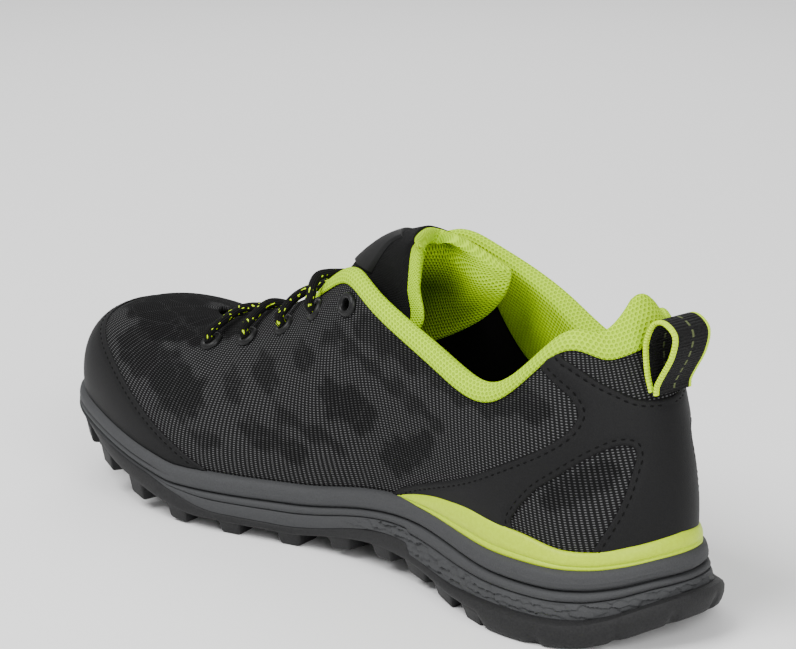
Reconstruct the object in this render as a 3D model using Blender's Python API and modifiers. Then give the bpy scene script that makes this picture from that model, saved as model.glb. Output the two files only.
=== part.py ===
"""Low trail shoe for the right foot, standing on its lugs, modelled the way it is put together.

The tables are in millimetres or in shares of the driving sizes. Along runs from the back of the heel to
the toe, across is positive on the outer side of the foot and negative on the inner side, and up is the
height over the floor. One table of ribs gives the last: the pieces of the upper are read from its surface.
"""

import math

import bmesh
import bpy
import numpy as np
from mathutils import Vector

MM = 0.001

# Driving sizes, in millimetres
LENGTH = 294.0  # heel to toe along the sole's upper edge
BALL_WIDTH = 103.0  # over the ball joints, at the sole's upper edge
HEEL_HEIGHT = 113.0  # floor to the top of the heel tab
WALL = 2.0  # thickness of the upper
GAP = 0.3  # clearance between pieces that touch
OVERLAY = 1.0  # thickness of the toe cap and the heel counter
BAND_IN = 1.6  # inner face of the heel band, out from the upper: it covers the counter's foot
BAND_OUT = 1.6  # its thickness
TOP_BAND = 7.0  # smooth upper band of the midsole wall
LUG = 5.0  # height of the tread lugs
PLATE = 3.2  # outsole without its lugs
INSOLE = 4.0
INSOLE_EDGE = 1.0  # its upper edge is drawn in, over a fifth of its thickness
LACE = 3.2  # diameter of the round lace
EYELET_RING = 3.4  # centre circle of an eyelet
EYELET_WIRE = 1.1
EYELET_CLEAR = 0.5  # clearance under an eyelet, on the curved upper
LACED_ROWS = 4  # the fifth pair of eyelets is free

COLUMNS = 72  # columns round the shoe, three to a rib
ROWS = 9  # rows from the sole's edge to the mouth
SAMPLES = 200  # steps of a search along a line of the last
RIB_SAMPLES = 33  # steps over which a rib's length is added up
STEP = 1e-3  # small step for directions on a surface
CREASE = 35.0  # degrees above which an edge is shaded sharp

# Ribs of the upper, from the heel to the toe, each used on both sides. Along and mouth_along are shares
# of LENGTH; inner, outer and mouth_half are shares of BALL_WIDTH; mouth_up is a share of HEEL_HEIGHT.
# Lean and rise are the lower handle of the rib's curve, spread and drop its upper handle, in millimetres,
# and outer_up and outer_drop are what the mouth gains and the upper handle drops more on the outer side.
RIB_COLUMNS = (
    "along", "inner", "outer", "mouth_along", "mouth_half", "mouth_up",
    "lean", "rise", "spread", "drop", "outer_up", "outer_drop",
)
RIBS = np.array(
    [
        (0.012, 0.000, 0.000, 0.070, 0.000, 0.965, 2.0, 20.0, 11.0, 22.0, 0.0, 0.0),  # heel back
        (0.040, 0.200, 0.172, 0.083, 0.140, 0.890, 2.0, 20.5, 7.5, 20.0, 0.0, 0.0),  # heel corner
        (0.102, 0.316, 0.294, 0.120, 0.234, 0.885, 2.0, 20.0, 6.0, 18.0, 0.0, 0.0),  # heel side
        (0.190, 0.340, 0.338, 0.195, 0.304, 0.712, 2.5, 17.0, 4.5, 14.0, 3.5, 0.0),  # ankle
        (0.292, 0.314, 0.350, 0.292, 0.306, 0.765, 3.0, 18.0, 5.0, 16.0, 9.0, 0.0),  # rear waist
        (0.391, 0.302, 0.364, 0.398, 0.278, 0.880, 3.0, 20.0, 8.0, 18.0, 9.5, 0.0),  # waist
        (0.493, 0.326, 0.408, 0.464, 0.224, 0.930, 3.0, 20.0, 15.0, 17.0, 5.5, 0.0),  # instep
        (0.592, 0.408, 0.480, 0.558, 0.132, 0.806, 3.0, 20.0, 19.0, 11.0, -1.0, 3.0),  # behind the ball
        (0.694, 0.492, 0.520, 0.650, 0.112, 0.704, 3.0, 20.0, 21.0, 10.0, -4.0, 4.0),  # ball
        (0.792, 0.506, 0.486, 0.724, 0.098, 0.640, 3.0, 21.0, 23.0, 8.0, -4.5, 6.0),  # toe joints
        (0.884, 0.456, 0.394, 0.769, 0.078, 0.618, 3.0, 25.0, 27.0, 2.0, -3.0, 8.0),  # toe side
        (0.963, 0.350, 0.214, 0.794, 0.044, 0.616, 3.0, 31.0, 31.0, -2.5, -1.0, 5.0),  # toe corner
        (1.000, 0.116, -0.116, 0.803, 0.000, 0.618, 3.0, 33.0, 31.0, -3.0, 0.0, 0.0),  # toe tip
    ],
    [(column, float) for column in RIB_COLUMNS],
)
LOOP = 2 * (len(RIBS) - 1)  # ribs round the whole shoe: inner side out, outer side back
MOUTH_SHIFT = -4.0  # the lacing lies on the inner side of the middle
MOUTH_SHIFT_FROM, MOUTH_SHIFT_TO = 0.2, 0.55

# Height of the heel band over the sole's edge, at rib places from the back of the heel to its ends
BAND = np.array(
    [
        (0.0, 9.0), (0.8, 7.6), (1.4, 6.6), (1.8, 7.2), (2.5, 10.0),
        (3.2, 10.4), (3.8, 7.6), (4.3, 3.8), (4.7, 0.4),
    ],
    [("rib", float), ("up", float)],
)
# Its section, in shares of its height and of BAND_OUT
BAND_SECTION = np.array(
    [(0.1, 0.0), (1.0, 0.0), (1.0, 0.55), (0.55, 1.0), (0.1, 0.85)],
    [("up", float), ("out", float)],
)
BAND_FULL = 5.0  # height from which it has its full thickness
BAND_THIN = 0.35  # share of its thickness that is left at its ends

# Side view of the sole: along in shares of LENGTH, top is its upper edge, floor the underside of the lugs
SOLE = np.array(
    [
        (-0.03, 30.6, 11.0),
        (0.00, 30.4, 7.0),
        (0.03, 28.0, 2.8),
        (0.06, 26.4, 0.6),
        (0.10, 25.6, 0.0),
        (0.20, 26.0, 0.0),
        (0.31, 26.5, 0.0),
        (0.41, 25.6, 0.0),
        (0.51, 24.0, 0.0),
        (0.61, 22.7, 0.0),
        (0.70, 22.5, 0.0),
        (0.75, 25.0, 1.0),
        (0.82, 29.0, 5.4),
        (0.89, 32.6, 11.3),
        (0.97, 35.8, 18.0),
        (1.03, 37.2, 21.5),
    ],
    [("along", float), ("top", float), ("floor", float)],
)
# The arch lifts the sole under the inner waist: height, middle and half length in shares of LENGTH
ARCH = {"top": (5.5, 0.35, 0.18), "floor": (6.0, 0.39, 0.155)}
ARCH_MIDDLE, ARCH_TILT = 0.65, 0.35  # share in the middle, and what it gains to the inner side
# The outsole climbs the wall of the midsole beside the ball
CLIMB = (6.0, 0.725, 0.08)
# Step at the waist: the plate is thicker in front of it, and thins again over a share of the length
WAIST_STEP = 3.6
WAIST_STEP_AT, WAIST_STEP_BACK = 0.333, 0.16
WAIST_STEP_HALF = 0.008

# Wall of the midsole from its upper edge down: out from that edge, more at the heel, depth under the
# edge, and share of what is left between the top band and the outsole.
MIDSOLE_WALL = np.array(
    [
        (0.0, 0.0, 0.0, 0.00),  # upper edge
        (2.2, 1.4, 0.5, 0.00),  # shoulder
        (3.0, 1.6, 2.4, 0.00),
        (3.1, 1.8, 5.0, 0.00),
        (2.4, 1.8, 6.6, 0.00),
        (1.2, 1.8, 7.0, 0.03),  # first groove
        (2.8, 2.2, 7.0, 0.10),
        (3.1, 2.4, 7.0, 0.30),  # middle band
        (2.2, 2.6, 7.0, 0.38),  # second groove
        (2.8, 3.0, 7.0, 0.46),
        (3.2, 3.6, 7.0, 0.75),  # pebbled band
        (2.8, 3.6, 7.0, 1.00),
    ],
    [("out", float), ("heel_out", float), ("depth", float), ("share", float)],
)
# Wall of the outsole from the midsole down to the root of the lugs
OUTSOLE_WALL = np.array(
    [
        (2.4, 4.2, 1.00),
        (3.0, 6.6, 0.75),
        (3.0, 7.0, 0.30),
        (2.0, 6.2, 0.00),
    ],
    [("out", float), ("heel_out", float), ("share", float)],
)
TOE_TUCK = 4.0  # the outsole is drawn in under the toe
TOE_TUCK_FROM, TOE_TUCK_TO = 0.80, 0.98
HEEL_FLARE_FROM, HEEL_FLARE_TO = 0.34, 0.12

# Edge lugs: middles in shares of LENGTH, and their half length along the edge in millimetres
EDGE_LUGS = np.array(
    [
        (0.016, 14.0),
        (0.064, 11.5),
        (0.132, 8.2),
        (0.197, 5.5),
        (0.262, 6.5),
        (0.324, 6.0),
        (0.387, 5.0),
        (0.461, 5.2),
        (0.539, 5.0),
        (0.622, 4.8),
        (0.702, 4.8),
        (0.781, 4.8),
        (0.860, 5.0),
        (0.932, 5.0),
        (0.985, 4.5),
    ],
    [("along", float), ("half", float)],
)
EDGE_LUG_DEPTH = 15.0  # from its outer face in under the sole
EDGE_LUG_OUT, EDGE_LUG_HEEL_OUT = 1.6, 8.2
LUG_TAPER = 1.3  # each corner of a lug leans in
LUG_SEARCH = 1.2  # ribs on each side over which an edge lug's ends are looked for
# Middle lugs, two abreast, in shares of LENGTH
MIDDLE_LUGS = (0.12, 0.66)
MIDDLE_LUG_SIZE = (11.0, 13.0)  # along, across
MIDDLE_LUG_SPREAD = 0.30  # share of the sole's half width

# Section of the padded collar at the mouth: out from the upper's face, and up from its edge.
# Pad is how far a point goes in with the padding, and sink how far down.
COLLAR_SECTION = np.array(
    [
        (0.35, -5.0, 0.0, 0.0),  # lower edge of the binding
        (1.5, -4.2, 0.0, 0.0),
        (1.9, -1.6, 0.0, 0.0),
        (1.2, 1.2, 0.0, 0.0),
        (-0.9, 2.5, 0.0, 0.0),  # top of the roll
        (-3.0, 1.6, 0.5, 0.0),
        (-3.9, -1.5, 0.8, 0.0),
        (-4.0, -4.0, 1.0, 0.25),
        (-3.8, -5.0, 0.9, 0.65),
        (-3.0, -5.4, 0.1, 1.0),  # lower edge of the padding
        (-2.35, -5.4, 0.0, 1.0),
        (-2.35, -2.6, 0.0, 0.5),
        (-2.35, 0.3, 0.0, 0.0),
        (0.35, 0.3, 0.0, 0.0),
    ],
    [("out", float), ("up", float), ("pad", float), ("sink", float)],
)
COLLAR_PAD = 5.0
COLLAR_SINK = 31.0
SINK_FROM, SINK_TO = 6.0, 4.6  # ribs over which the padding reaches its full depth
COLLAR_END = 7.0  # rib where the binding stops on the lacing edge
PAD_FROM, PAD_TO = 5.2, 3.4  # ribs over which the padding thickens
HEEL_ROLL = 3.0  # more roll at the heel tab
HEEL_TAB = 0.9  # ribs over which that roll dies away

# Tongue from its foot to its top: middle line, half width, how far its edges fall back, the angle of that
# fall (90 is straight down), the share by which the outer edge falls further, and thickness
TONGUE = np.array(
    [
        (0.825, 57.5, 13.0, 3.0, 90.0, 0.0, 2.4),
        (0.715, 67.0, 16.5, 16.0, 45.0, 0.0, 3.0),
        (0.630, 77.0, 19.0, 50.0, 4.0, 0.0, 4.0),
        (0.570, 89.5, 20.0, 61.0, 0.0, 0.0, 5.0),
        (0.523, 104.0, 20.5, 47.0, 0.0, 0.20, 5.5),
        (0.462, 115.5, 20.5, 29.0, -4.0, 0.25, 5.5),
        (0.393, 122.0, 20.0, 9.5, 0.0, 0.30, 4.0),
    ],
    [(column, float) for column in ("along", "up", "half", "fall", "angle", "lean", "thick")],
)
TONGUE_ROWS, TONGUE_COLUMNS = 15, 11
TONGUE_SLANT = 40.0  # the outer corner of the top hangs lower
TONGUE_CORNER = 3.0  # rounding of its corners
TONGUE_SLANT_FROM = 0.45  # share of its length from which it slants
TONGUE_EDGE = 0.4  # share of its thickness that is lost at its edges
PATCH_ROWS = (0.66, 0.9)  # smooth patch on the tongue, in shares of its length
PATCH_HALF = 0.65  # share of the tongue's half width
PATCH_CLEAR = 0.6  # clearance under the patch, on the curved tongue

# Eyelets from the toe up: along in shares of LENGTH, and distance in from the lacing edge
EYELETS = np.array(
    [(0.717, 17.0), (0.653, 15.5), (0.590, 13.5), (0.525, 12.5), (0.443, 12.5)],
    [("along", float), ("inset", float)],
)

# Toe cap: the plane that ends it, in the side view
CAP_FOOT = (0.655, 23.0)
CAP_SLOPE = 0.50

CAP_START = 7.0  # rib from which its shell is taken
CAP_ROWS = 3  # rows left out under the mouth

# Heel counter in the side view, along in shares of LENGTH and up in millimetres: from its tip at the waist
# up its front edge to the collar, then down its upper edge to the pull loop
COUNTER_OUTLINE = (
    (0.370, 32.0), (0.238, 46.8), (0.167, 57.0), (0.123, 64.2), (0.093, 72.0), (0.087, 78.0), (0.105, 84.5),
    (0.140, 90.0), (0.150, 97.0), (0.120, 97.0), (0.100, 92.6), (0.075, 87.6), (0.040, 80.8),
    (-0.060, 80.0), (-0.060, 10.0), (0.370, 10.0),
)
COUNTER_START = 6.0  # rib to which its shell is taken
# Its mesh window
WINDOW_OUTLINE = (
    (0.152, 40.0), (0.118, 52.1), (0.083, 60.6), (0.050, 67.2), (0.038, 65.5), (0.038, 55.0), (0.045, 42.0),
    (0.060, 34.5), (0.105, 33.5),
)

# Lace: where it crosses the eyestay, in from its edge, and its height over it
LACE_INSET = 1.0
LACE_LIFT = 3.0
LACE_BINDING_LIFT = 5.0  # more over the binding, at the top row

# Pull loop: distance behind the heel wall, and height
LOOP_WIDTH = 18.0
LOOP_THICK = 1.5
LOOP_PATH = (
    (1.1, 84.5), (1.1, 91.0), (3.6, 100.0), (9.5, 107.0), (15.0, 108.5),
    (18.5, 105.5), (15.5, 98.5), (9.0, 91.0), (4.8, 87.0), (3.0, 84.0),
)

BLACK_FABRIC = ("black mesh", (0.028, 0.028, 0.030), 0.75)
BLACK_SKIN = ("black synthetic", (0.030, 0.030, 0.032), 0.5)
BLACK_RUBBER = ("black rubber", (0.028, 0.028, 0.029), 0.6)
BLACK_WEBBING = ("black webbing", (0.024, 0.024, 0.026), 0.8)
DARK_LINING = ("dark lining", (0.030, 0.028, 0.030), 0.85)
GREY_FOAM = ("grey foam", (0.115, 0.117, 0.125), 0.65)
LIME_FOAM = ("lime foam", (0.58, 0.73, 0.06), 0.55)
LIME_KNIT = ("lime knit", (0.50, 0.75, 0.02), 0.85)


def clear_scene():
    for thing in list(bpy.data.objects):
        bpy.data.objects.remove(thing, do_unlink=True)


def new_collection(name):
    made = bpy.data.collections.new(name)
    bpy.context.scene.collection.children.link(made)
    return made


def material(finish):
    name, colour, roughness = finish
    made = bpy.data.materials.get(name)
    if made is None:
        made = bpy.data.materials.new(name)
        made.use_nodes = True
        shader = made.node_tree.nodes["Principled BSDF"]
        shader.inputs["Base Color"].default_value = (*colour, 1.0)
        shader.inputs["Roughness"].default_value = roughness
        shader.inputs["Metallic"].default_value = 0.0
    return made


def ease(x, start, end):
    """Smooth step from 0 at start to 1 at end."""
    t = np.clip((np.asarray(x, float) - start) / (end - start), 0.0, 1.0)
    return t * t * (3.0 - 2.0 * t)


def bump(x, height, middle, half):
    """Smooth rise of a given height that is nothing beyond its half length."""
    t = np.clip((x - middle) / half, -1.0, 1.0)
    return height * (1 - t * t) ** 2


def smooth_through(x, xs, ys):
    """Cubic through the rows of a table that doesn't overshoot between them."""
    xs, ys, x = np.asarray(xs, float), np.asarray(ys, float), np.asarray(x, float)
    steps = np.diff(xs)
    slopes = np.diff(ys) / steps
    before, after = slopes[:-1], slopes[1:]
    same_way = before * after > 0
    inner = np.where(same_way, 2 * before * after / np.where(same_way, before + after, 1.0), 0.0)
    tangents = np.concatenate([slopes[:1], inner, slopes[-1:]])
    x = np.clip(x, xs[0], xs[-1])
    i = np.clip(np.searchsorted(xs, x, side="right") - 1, 0, len(xs) - 2)
    t = (x - xs[i]) / steps[i]
    return (
        ys[i] * (1 + 2 * t) * (1 - t) ** 2
        + ys[i + 1] * t * t * (3 - 2 * t)
        + steps[i] * (tangents[i] * t * (1 - t) ** 2 - tangents[i + 1] * t * t * (1 - t))
    )


def closed_spline(values, u):
    """Smooth closed curve through values at u = 0, 1, 2 and so on."""
    values = np.asarray(values, float)
    n = len(values)
    system = 4 * np.eye(n) + np.roll(np.eye(n), 1, 0) + np.roll(np.eye(n), -1, 0)
    slopes = np.linalg.solve(system, 3 * (np.roll(values, -1, 0) - np.roll(values, 1, 0)))
    u = np.asarray(u, float)
    i = np.floor(u).astype(int)
    t = u - i
    a, b = i % n, (i + 1) % n
    return (
        values[a] * (1 + 2 * t) * (1 - t) ** 2
        + values[b] * t * t * (3 - 2 * t)
        + slopes[a] * t * (1 - t) ** 2
        - slopes[b] * t * t * (1 - t)
    )


def round_trip(inner, outer):
    """A table column for the whole loop: the inner side from heel to toe, then the outer side back."""
    return np.concatenate([inner, outer[-2:0:-1]])


def sole_row(along, across, row):
    """Height of the sole's upper edge ("top") or of its lugs' underside ("floor")."""
    share = np.asarray(along, float) / LENGTH
    height = smooth_through(share, SOLE["along"], SOLE[row])
    tilt = np.clip(ARCH_MIDDLE - ARCH_TILT * np.asarray(across) / (BALL_WIDTH / 2), 0.0, 1.0)
    return height + tilt * bump(share, *ARCH[row])


def outsole_top(along, across):
    """Upper edge of the rubber: lugs and plate over the floor, a climb at the ball and a step at the waist."""
    share = np.asarray(along) / LENGTH
    step = ease(share, WAIST_STEP_AT - WAIST_STEP_HALF, WAIST_STEP_AT + WAIST_STEP_HALF)
    step = step * ease(share, WAIST_STEP_AT + WAIST_STEP_BACK, WAIST_STEP_AT)
    return sole_row(along, across, "floor") + LUG + PLATE + bump(share, *CLIMB) + WAIST_STEP * step


def heel_share(along):
    return ease(np.asarray(along) / LENGTH, HEEL_FLARE_FROM, HEEL_FLARE_TO)


def edge_line(u):
    """The sole's upper edge in plan, and its outward direction, at loop places u."""
    along = round_trip(RIBS["along"], RIBS["along"]) * LENGTH
    across = round_trip(-RIBS["inner"], RIBS["outer"]) * BALL_WIDTH
    step = STEP
    line = np.stack([closed_spline(along, u), closed_spline(across, u)], -1)
    ahead = np.stack([closed_spline(along, u + step), closed_spline(across, u + step)], -1)
    back = np.stack([closed_spline(along, u - step), closed_spline(across, u - step)], -1)
    way = ahead - back
    out = np.stack([way[..., 1], -way[..., 0]], -1)
    return line, out / np.linalg.norm(out, axis=-1, keepdims=True)


def rib_controls(u):
    """The four control points of the rib's curve at loop places u, as an array (..., 4, 3)."""
    line, out = edge_line(u)
    foot = np.concatenate([line, sole_row(line[..., 0], line[..., 1], "top")[..., None] + GAP], -1)
    outer = {
        "mouth_half": -RIBS["mouth_half"],
        "mouth_up": RIBS["mouth_up"] + RIBS["outer_up"] / HEEL_HEIGHT,
        "drop": RIBS["drop"] + RIBS["outer_drop"],
    }
    column = {
        name: closed_spline(round_trip(RIBS[name], outer.get(name, RIBS[name])), u)
        for name in RIB_COLUMNS[3:10]
    }
    shift = MOUTH_SHIFT * ease(column["mouth_along"], MOUTH_SHIFT_FROM, MOUTH_SHIFT_TO)
    mouth = np.stack(
        [
            column["mouth_along"] * LENGTH,
            shift - column["mouth_half"] * BALL_WIDTH,
            column["mouth_up"] * HEEL_HEIGHT,
        ],
        -1,
    )
    lower = foot + np.concatenate([out * column["lean"][..., None], column["rise"][..., None]], -1)
    upper = mouth + np.concatenate([out * column["spread"][..., None], -column["drop"][..., None]], -1)
    return np.stack([foot, lower, upper, mouth], -2)


def last_point(u, v):
    """Outer face of the upper: v is 0 at the sole and 1 at the mouth."""
    u, v = np.broadcast_arrays(np.asarray(u, float), np.asarray(v, float))
    points = rib_controls(u)
    v = v[..., None]
    return (
        points[..., 0, :] * (1 - v) ** 3
        + points[..., 1, :] * 3 * v * (1 - v) ** 2
        + points[..., 2, :] * 3 * v * v * (1 - v)
        + points[..., 3, :] * v**3
    )


def last_frame(u, v):
    """Point on the upper, its outward normal, and its direction up the rib."""
    step = STEP
    inside = np.clip(v, 2 * step, 1 - 2 * step)
    along_u = last_point(u + step, inside) - last_point(u - step, inside)
    up = last_point(u, inside + step) - last_point(u, inside - step)
    normal = np.cross(along_u, up)
    normal /= np.linalg.norm(normal, axis=-1, keepdims=True)
    return last_point(u, v), normal, up / np.linalg.norm(up, axis=-1, keepdims=True)


def last_offset(u, v, out):
    point, normal, _ = last_frame(u, v)
    return point + normal * np.asarray(out, float)[..., None]


def rib_length(u):
    v = np.linspace(0, 1, RIB_SAMPLES)
    return np.linalg.norm(np.diff(last_point(u, v), axis=0), axis=-1).sum()


def place(points):
    """Along, across and up in millimetres to Blender's metres: the toe points to -X."""
    points = np.asarray(points, float)
    return np.stack([-points[..., 0], points[..., 1], points[..., 2]], -1) * MM


def loop_places(count=COLUMNS):
    return np.arange(count) * LOOP / count


def finish_object(name, mesh, finish, collection):
    made = bpy.data.objects.new(name, mesh)
    collection.objects.link(made)
    if finish is not None:
        mesh.materials.append(material(finish))
    mesh.shade_smooth()
    mesh.set_sharp_from_angle(angle=math.radians(CREASE))
    return made


def loft(name, rings, finish, collection, wrap=True, closed=True, caps="fan"):
    """Skin over rings of equally many points.

    Wrap joins the first ring to the last, and closed joins a ring's ends. Caps: "fan" fills an end ring with
    one face, "ladder" and "fold" join its two sides, None leaves it open.
    """
    rings = np.asarray(rings, float)
    count, size = rings.shape[:2]
    work = bmesh.new()
    verts = [[work.verts.new(p) for p in ring] for ring in place(rings)]
    for i in range(count if wrap else count - 1):
        low, high = verts[i], verts[(i + 1) % count]
        for j in range(size if closed else size - 1):
            k = (j + 1) % size
            work.faces.new((low[j], low[k], high[k], high[j]))
    if not wrap and caps is not None:
        for ring in (verts[0], verts[-1]):
            if caps == "fan":
                work.faces.new(ring)
                continue
            turn = size if caps == "ladder" else size - 1
            for j in range(turn // 2):
                corners = (ring[j], ring[j + 1], ring[(turn - j - 1) % size], ring[(turn - j) % size])
                work.faces.new(dict.fromkeys(corners))
    bmesh.ops.recalc_face_normals(work, faces=work.faces)
    mesh = bpy.data.meshes.new(name)
    work.to_mesh(mesh)
    work.free()
    return finish_object(name, mesh, finish, collection)


def solidify(thing, thickness, side):
    """Thickness in millimetres, on the side of the normals (1) or behind them (-1)."""
    wall = thing.modifiers.new("wall", "SOLIDIFY")
    wall.thickness = thickness * MM
    wall.offset = side
    return thing


def cut(thing, cutter, operation):
    knife = thing.modifiers.new(operation.lower(), "BOOLEAN")
    knife.operation = operation
    knife.object = cutter
    knife.solver = "EXACT"


def join_all(thing, others):
    join = thing.modifiers.new("join", "BOOLEAN")
    join.operation = "UNION"
    join.operand_type = "COLLECTION"
    join.collection = others
    join.solver = "EXACT"


def as_helper(thing):
    thing.hide_render = True
    thing.display_type = "WIRE"
    return thing


def sole_ring(u, out, heights):
    """A ring round the sole, out from its upper edge, at heights worked out from along and across."""
    line, way = edge_line(u)
    plan = line + way * np.asarray(out, float)[..., None]
    return np.concatenate([plan, heights(plan[:, 0], plan[:, 1])[:, None]], -1)


def toe_tuck(along):
    return TOE_TUCK * ease(np.asarray(along) / LENGTH, TOE_TUCK_FROM, TOE_TUCK_TO)


def wall_out(row, u):
    line, _ = edge_line(u)
    return row["out"] + row["heel_out"] * heel_share(line[:, 0])


def build_midsole(collection):
    u = loop_places()
    rings = []
    for row in MIDSOLE_WALL:

        def heights(along, across, row=row):
            top = sole_row(along, across, "top")
            left = top - TOP_BAND - outsole_top(along, across) - GAP
            return top - row["depth"] - row["share"] * left

        rings.append(sole_ring(u, wall_out(row, u), heights))
    return loft("midsole", rings, GREY_FOAM, collection, wrap=False, caps="ladder")


def lug_block(name, corners, collection):
    """A tapered block from its 2 x 2 plan corners: the roots are buried in the outsole."""
    work = bmesh.new()
    bmesh.ops.create_cube(work, size=2.0)
    middle = corners.reshape(-1, 2).mean(0)
    for vert in work.verts:
        corner = corners[int(vert.co.x > 0), int(vert.co.y > 0)]
        if vert.co.z < 0:
            inward = middle - corner
            corner = corner + LUG_TAPER * inward / np.linalg.norm(inward)
            height = sole_row(*corner, "floor")
        else:
            height = sole_row(*corner, "floor") + LUG + PLATE / 2
        vert.co = place((*corner, float(height)))
    bmesh.ops.recalc_face_normals(work, faces=work.faces)
    mesh = bpy.data.meshes.new(name)
    work.to_mesh(mesh)
    work.free()
    return as_helper(finish_object(name, mesh, None, collection))


def loop_place_at(along, side):
    """Loop place where the edge line of the inner (-1) or outer (1) side passes along."""
    u = np.linspace(0, LOOP / 2, 2 * SAMPLES)
    if side > 0:
        u = LOOP - u
    line, _ = edge_line(u)
    return float(np.interp(along, line[:, 0], u))


def edge_lug(name, along, half, side, collection):
    middle = loop_place_at(along, side)
    near = np.linspace(middle - LUG_SEARCH, middle + LUG_SEARCH, SAMPLES)
    line, _ = edge_line(near)
    run = np.concatenate([[0], np.cumsum(np.linalg.norm(np.diff(line, axis=0), axis=-1))])
    run -= np.interp(middle, near, run)
    ends = np.interp([-half, half], run, near)
    line, way = edge_line(ends)
    out = EDGE_LUG_OUT + EDGE_LUG_HEEL_OUT * heel_share(line[:, 0]) - toe_tuck(line[:, 0])
    outer = line + way * out[:, None]
    return lug_block(name, np.stack([outer - way * EDGE_LUG_DEPTH, outer], 1), collection)


def build_outsole(collection, cutters):
    u = loop_places()
    rings = []
    for row in OUTSOLE_WALL:

        def heights(along, across, row=row):
            root = sole_row(along, across, "floor") + LUG
            return root + row["share"] * (outsole_top(along, across) - root)

        tuck = toe_tuck(edge_line(u)[0][:, 0])
        rings.append(sole_ring(u, wall_out(row, u) - tuck, heights))
    outsole = loft("outsole", rings, BLACK_RUBBER, collection, wrap=False, caps="ladder")
    lugs = []
    for side, word in ((-1, "inner"), (1, "outer")):
        for i, row in enumerate(EDGE_LUGS):
            lugs.append(edge_lug(f"lug_{word}_{i}", row["along"] * LENGTH, row["half"], side, cutters))
        for i, share in enumerate(MIDDLE_LUGS):
            along = share * LENGTH
            line, _ = edge_line(np.array([loop_place_at(along, -1), loop_place_at(along, 1)]))
            middle, half = line[:, 1].mean(), np.ptp(line[:, 1]) / 2
            across = middle + side * MIDDLE_LUG_SPREAD * half
            step_along, step_across = MIDDLE_LUG_SIZE[0] / 2, MIDDLE_LUG_SIZE[1] / 2
            corners = np.array(
                [
                    [(along - step_along, across - step_across), (along - step_along, across + step_across)],
                    [(along + step_along, across - step_across), (along + step_along, across + step_across)],
                ]
            )
            lugs.append(lug_block(f"lug_{word}_middle_{i}", corners, cutters))
    tread = new_collection("tread")
    for lug in lugs:
        tread.objects.link(lug)
    join_all(outsole, tread)


def build_insole(collection):
    u = loop_places()

    def top(along, across):
        return sole_row(along, across, "top")

    inset = -(WALL + 2 * GAP) * np.ones(COLUMNS)
    rings = [
        sole_ring(u, inset, lambda a, c: top(a, c) + GAP),
        sole_ring(u, inset, lambda a, c: top(a, c) + GAP + INSOLE * 4 / 5),
        sole_ring(u, inset - INSOLE_EDGE, lambda a, c: top(a, c) + GAP + INSOLE),
    ]
    return loft("insole", rings, DARK_LINING, collection, wrap=False, caps="ladder")


def last_grid(places, rows, out=0.0):
    u, v = np.meshgrid(places, rows)
    return last_offset(u, v, np.full(u.shape, out))


def build_upper(collection):
    rings = last_grid(loop_places(), np.linspace(0, 1, ROWS + 1))
    upper = loft("upper", rings, BLACK_FABRIC, collection, wrap=False, caps=None)
    return solidify(upper, WALL, -1)


def overlay_shell(name, places, rows, collection):
    rings = last_grid(places, rows, GAP)
    shell = loft(name, rings, BLACK_SKIN, collection, wrap=False, closed=False, caps=None)
    return solidify(shell, OVERLAY, 1)


def side_cutter(name, outline, collection):
    """Prism through the shoe with a rounded outline given in the side view."""
    flat = bpy.data.curves.new(name, "CURVE")
    flat.dimensions = "2D"
    flat.fill_mode = "BOTH"
    flat.extrude = BALL_WIDTH * MM
    flat.resolution_u = 4
    spline = flat.splines.new("BEZIER")
    spline.bezier_points.add(len(outline) - 1)
    for point, (along, up) in zip(spline.bezier_points, outline):
        point.co = (-along * LENGTH * MM, up * MM, 0)
        point.handle_left_type = point.handle_right_type = "AUTO"
    spline.use_cyclic_u = True
    drawn = bpy.data.objects.new(name, flat)
    collection.objects.link(drawn)
    drawn.rotation_euler = (math.radians(90), 0, 0)
    return as_helper(curve_to_mesh(name, drawn, None, collection))


def build_toe_cap(collection, cutters):
    columns = loop_places()
    toe = columns[(columns >= CAP_START) & (columns <= LOOP - CAP_START)]
    cap = overlay_shell("toe_cap", toe, np.linspace(0, 1, ROWS + 1)[:-CAP_ROWS], collection)
    run = LENGTH
    foot_along, foot_up = CAP_FOOT[0] * LENGTH, CAP_FOOT[1]
    bpy.ops.mesh.primitive_cube_add(size=1)
    block = bpy.context.object
    block.name = "toe_cap_end"
    for holder in block.users_collection:
        holder.objects.unlink(block)
    cutters.objects.link(block)
    tilt = math.atan(CAP_SLOPE)
    middle = (
        foot_along + run * math.cos(tilt) / 2 + run * math.sin(tilt) / 2,
        0,
        foot_up + run * math.sin(tilt) / 2 - run * math.cos(tilt) / 2,
    )
    block.dimensions = (run * MM, run * MM, run * MM)
    block.rotation_euler = (0, tilt, 0)
    block.location = place(middle)
    cut(cap, as_helper(block), "INTERSECT")
    return cap


def build_heel_counter(collection, cutters):
    columns = loop_places() - LOOP / 2
    heel = columns[np.abs(columns) <= COUNTER_START]
    counter = overlay_shell("heel_counter", heel, np.linspace(0, 1, ROWS + 1)[1:-1], collection)
    cut(counter, side_cutter("counter_outline", COUNTER_OUTLINE, cutters), "INTERSECT")
    cut(counter, side_cutter("counter_window", WINDOW_OUTLINE, cutters), "DIFFERENCE")
    return counter


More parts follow.
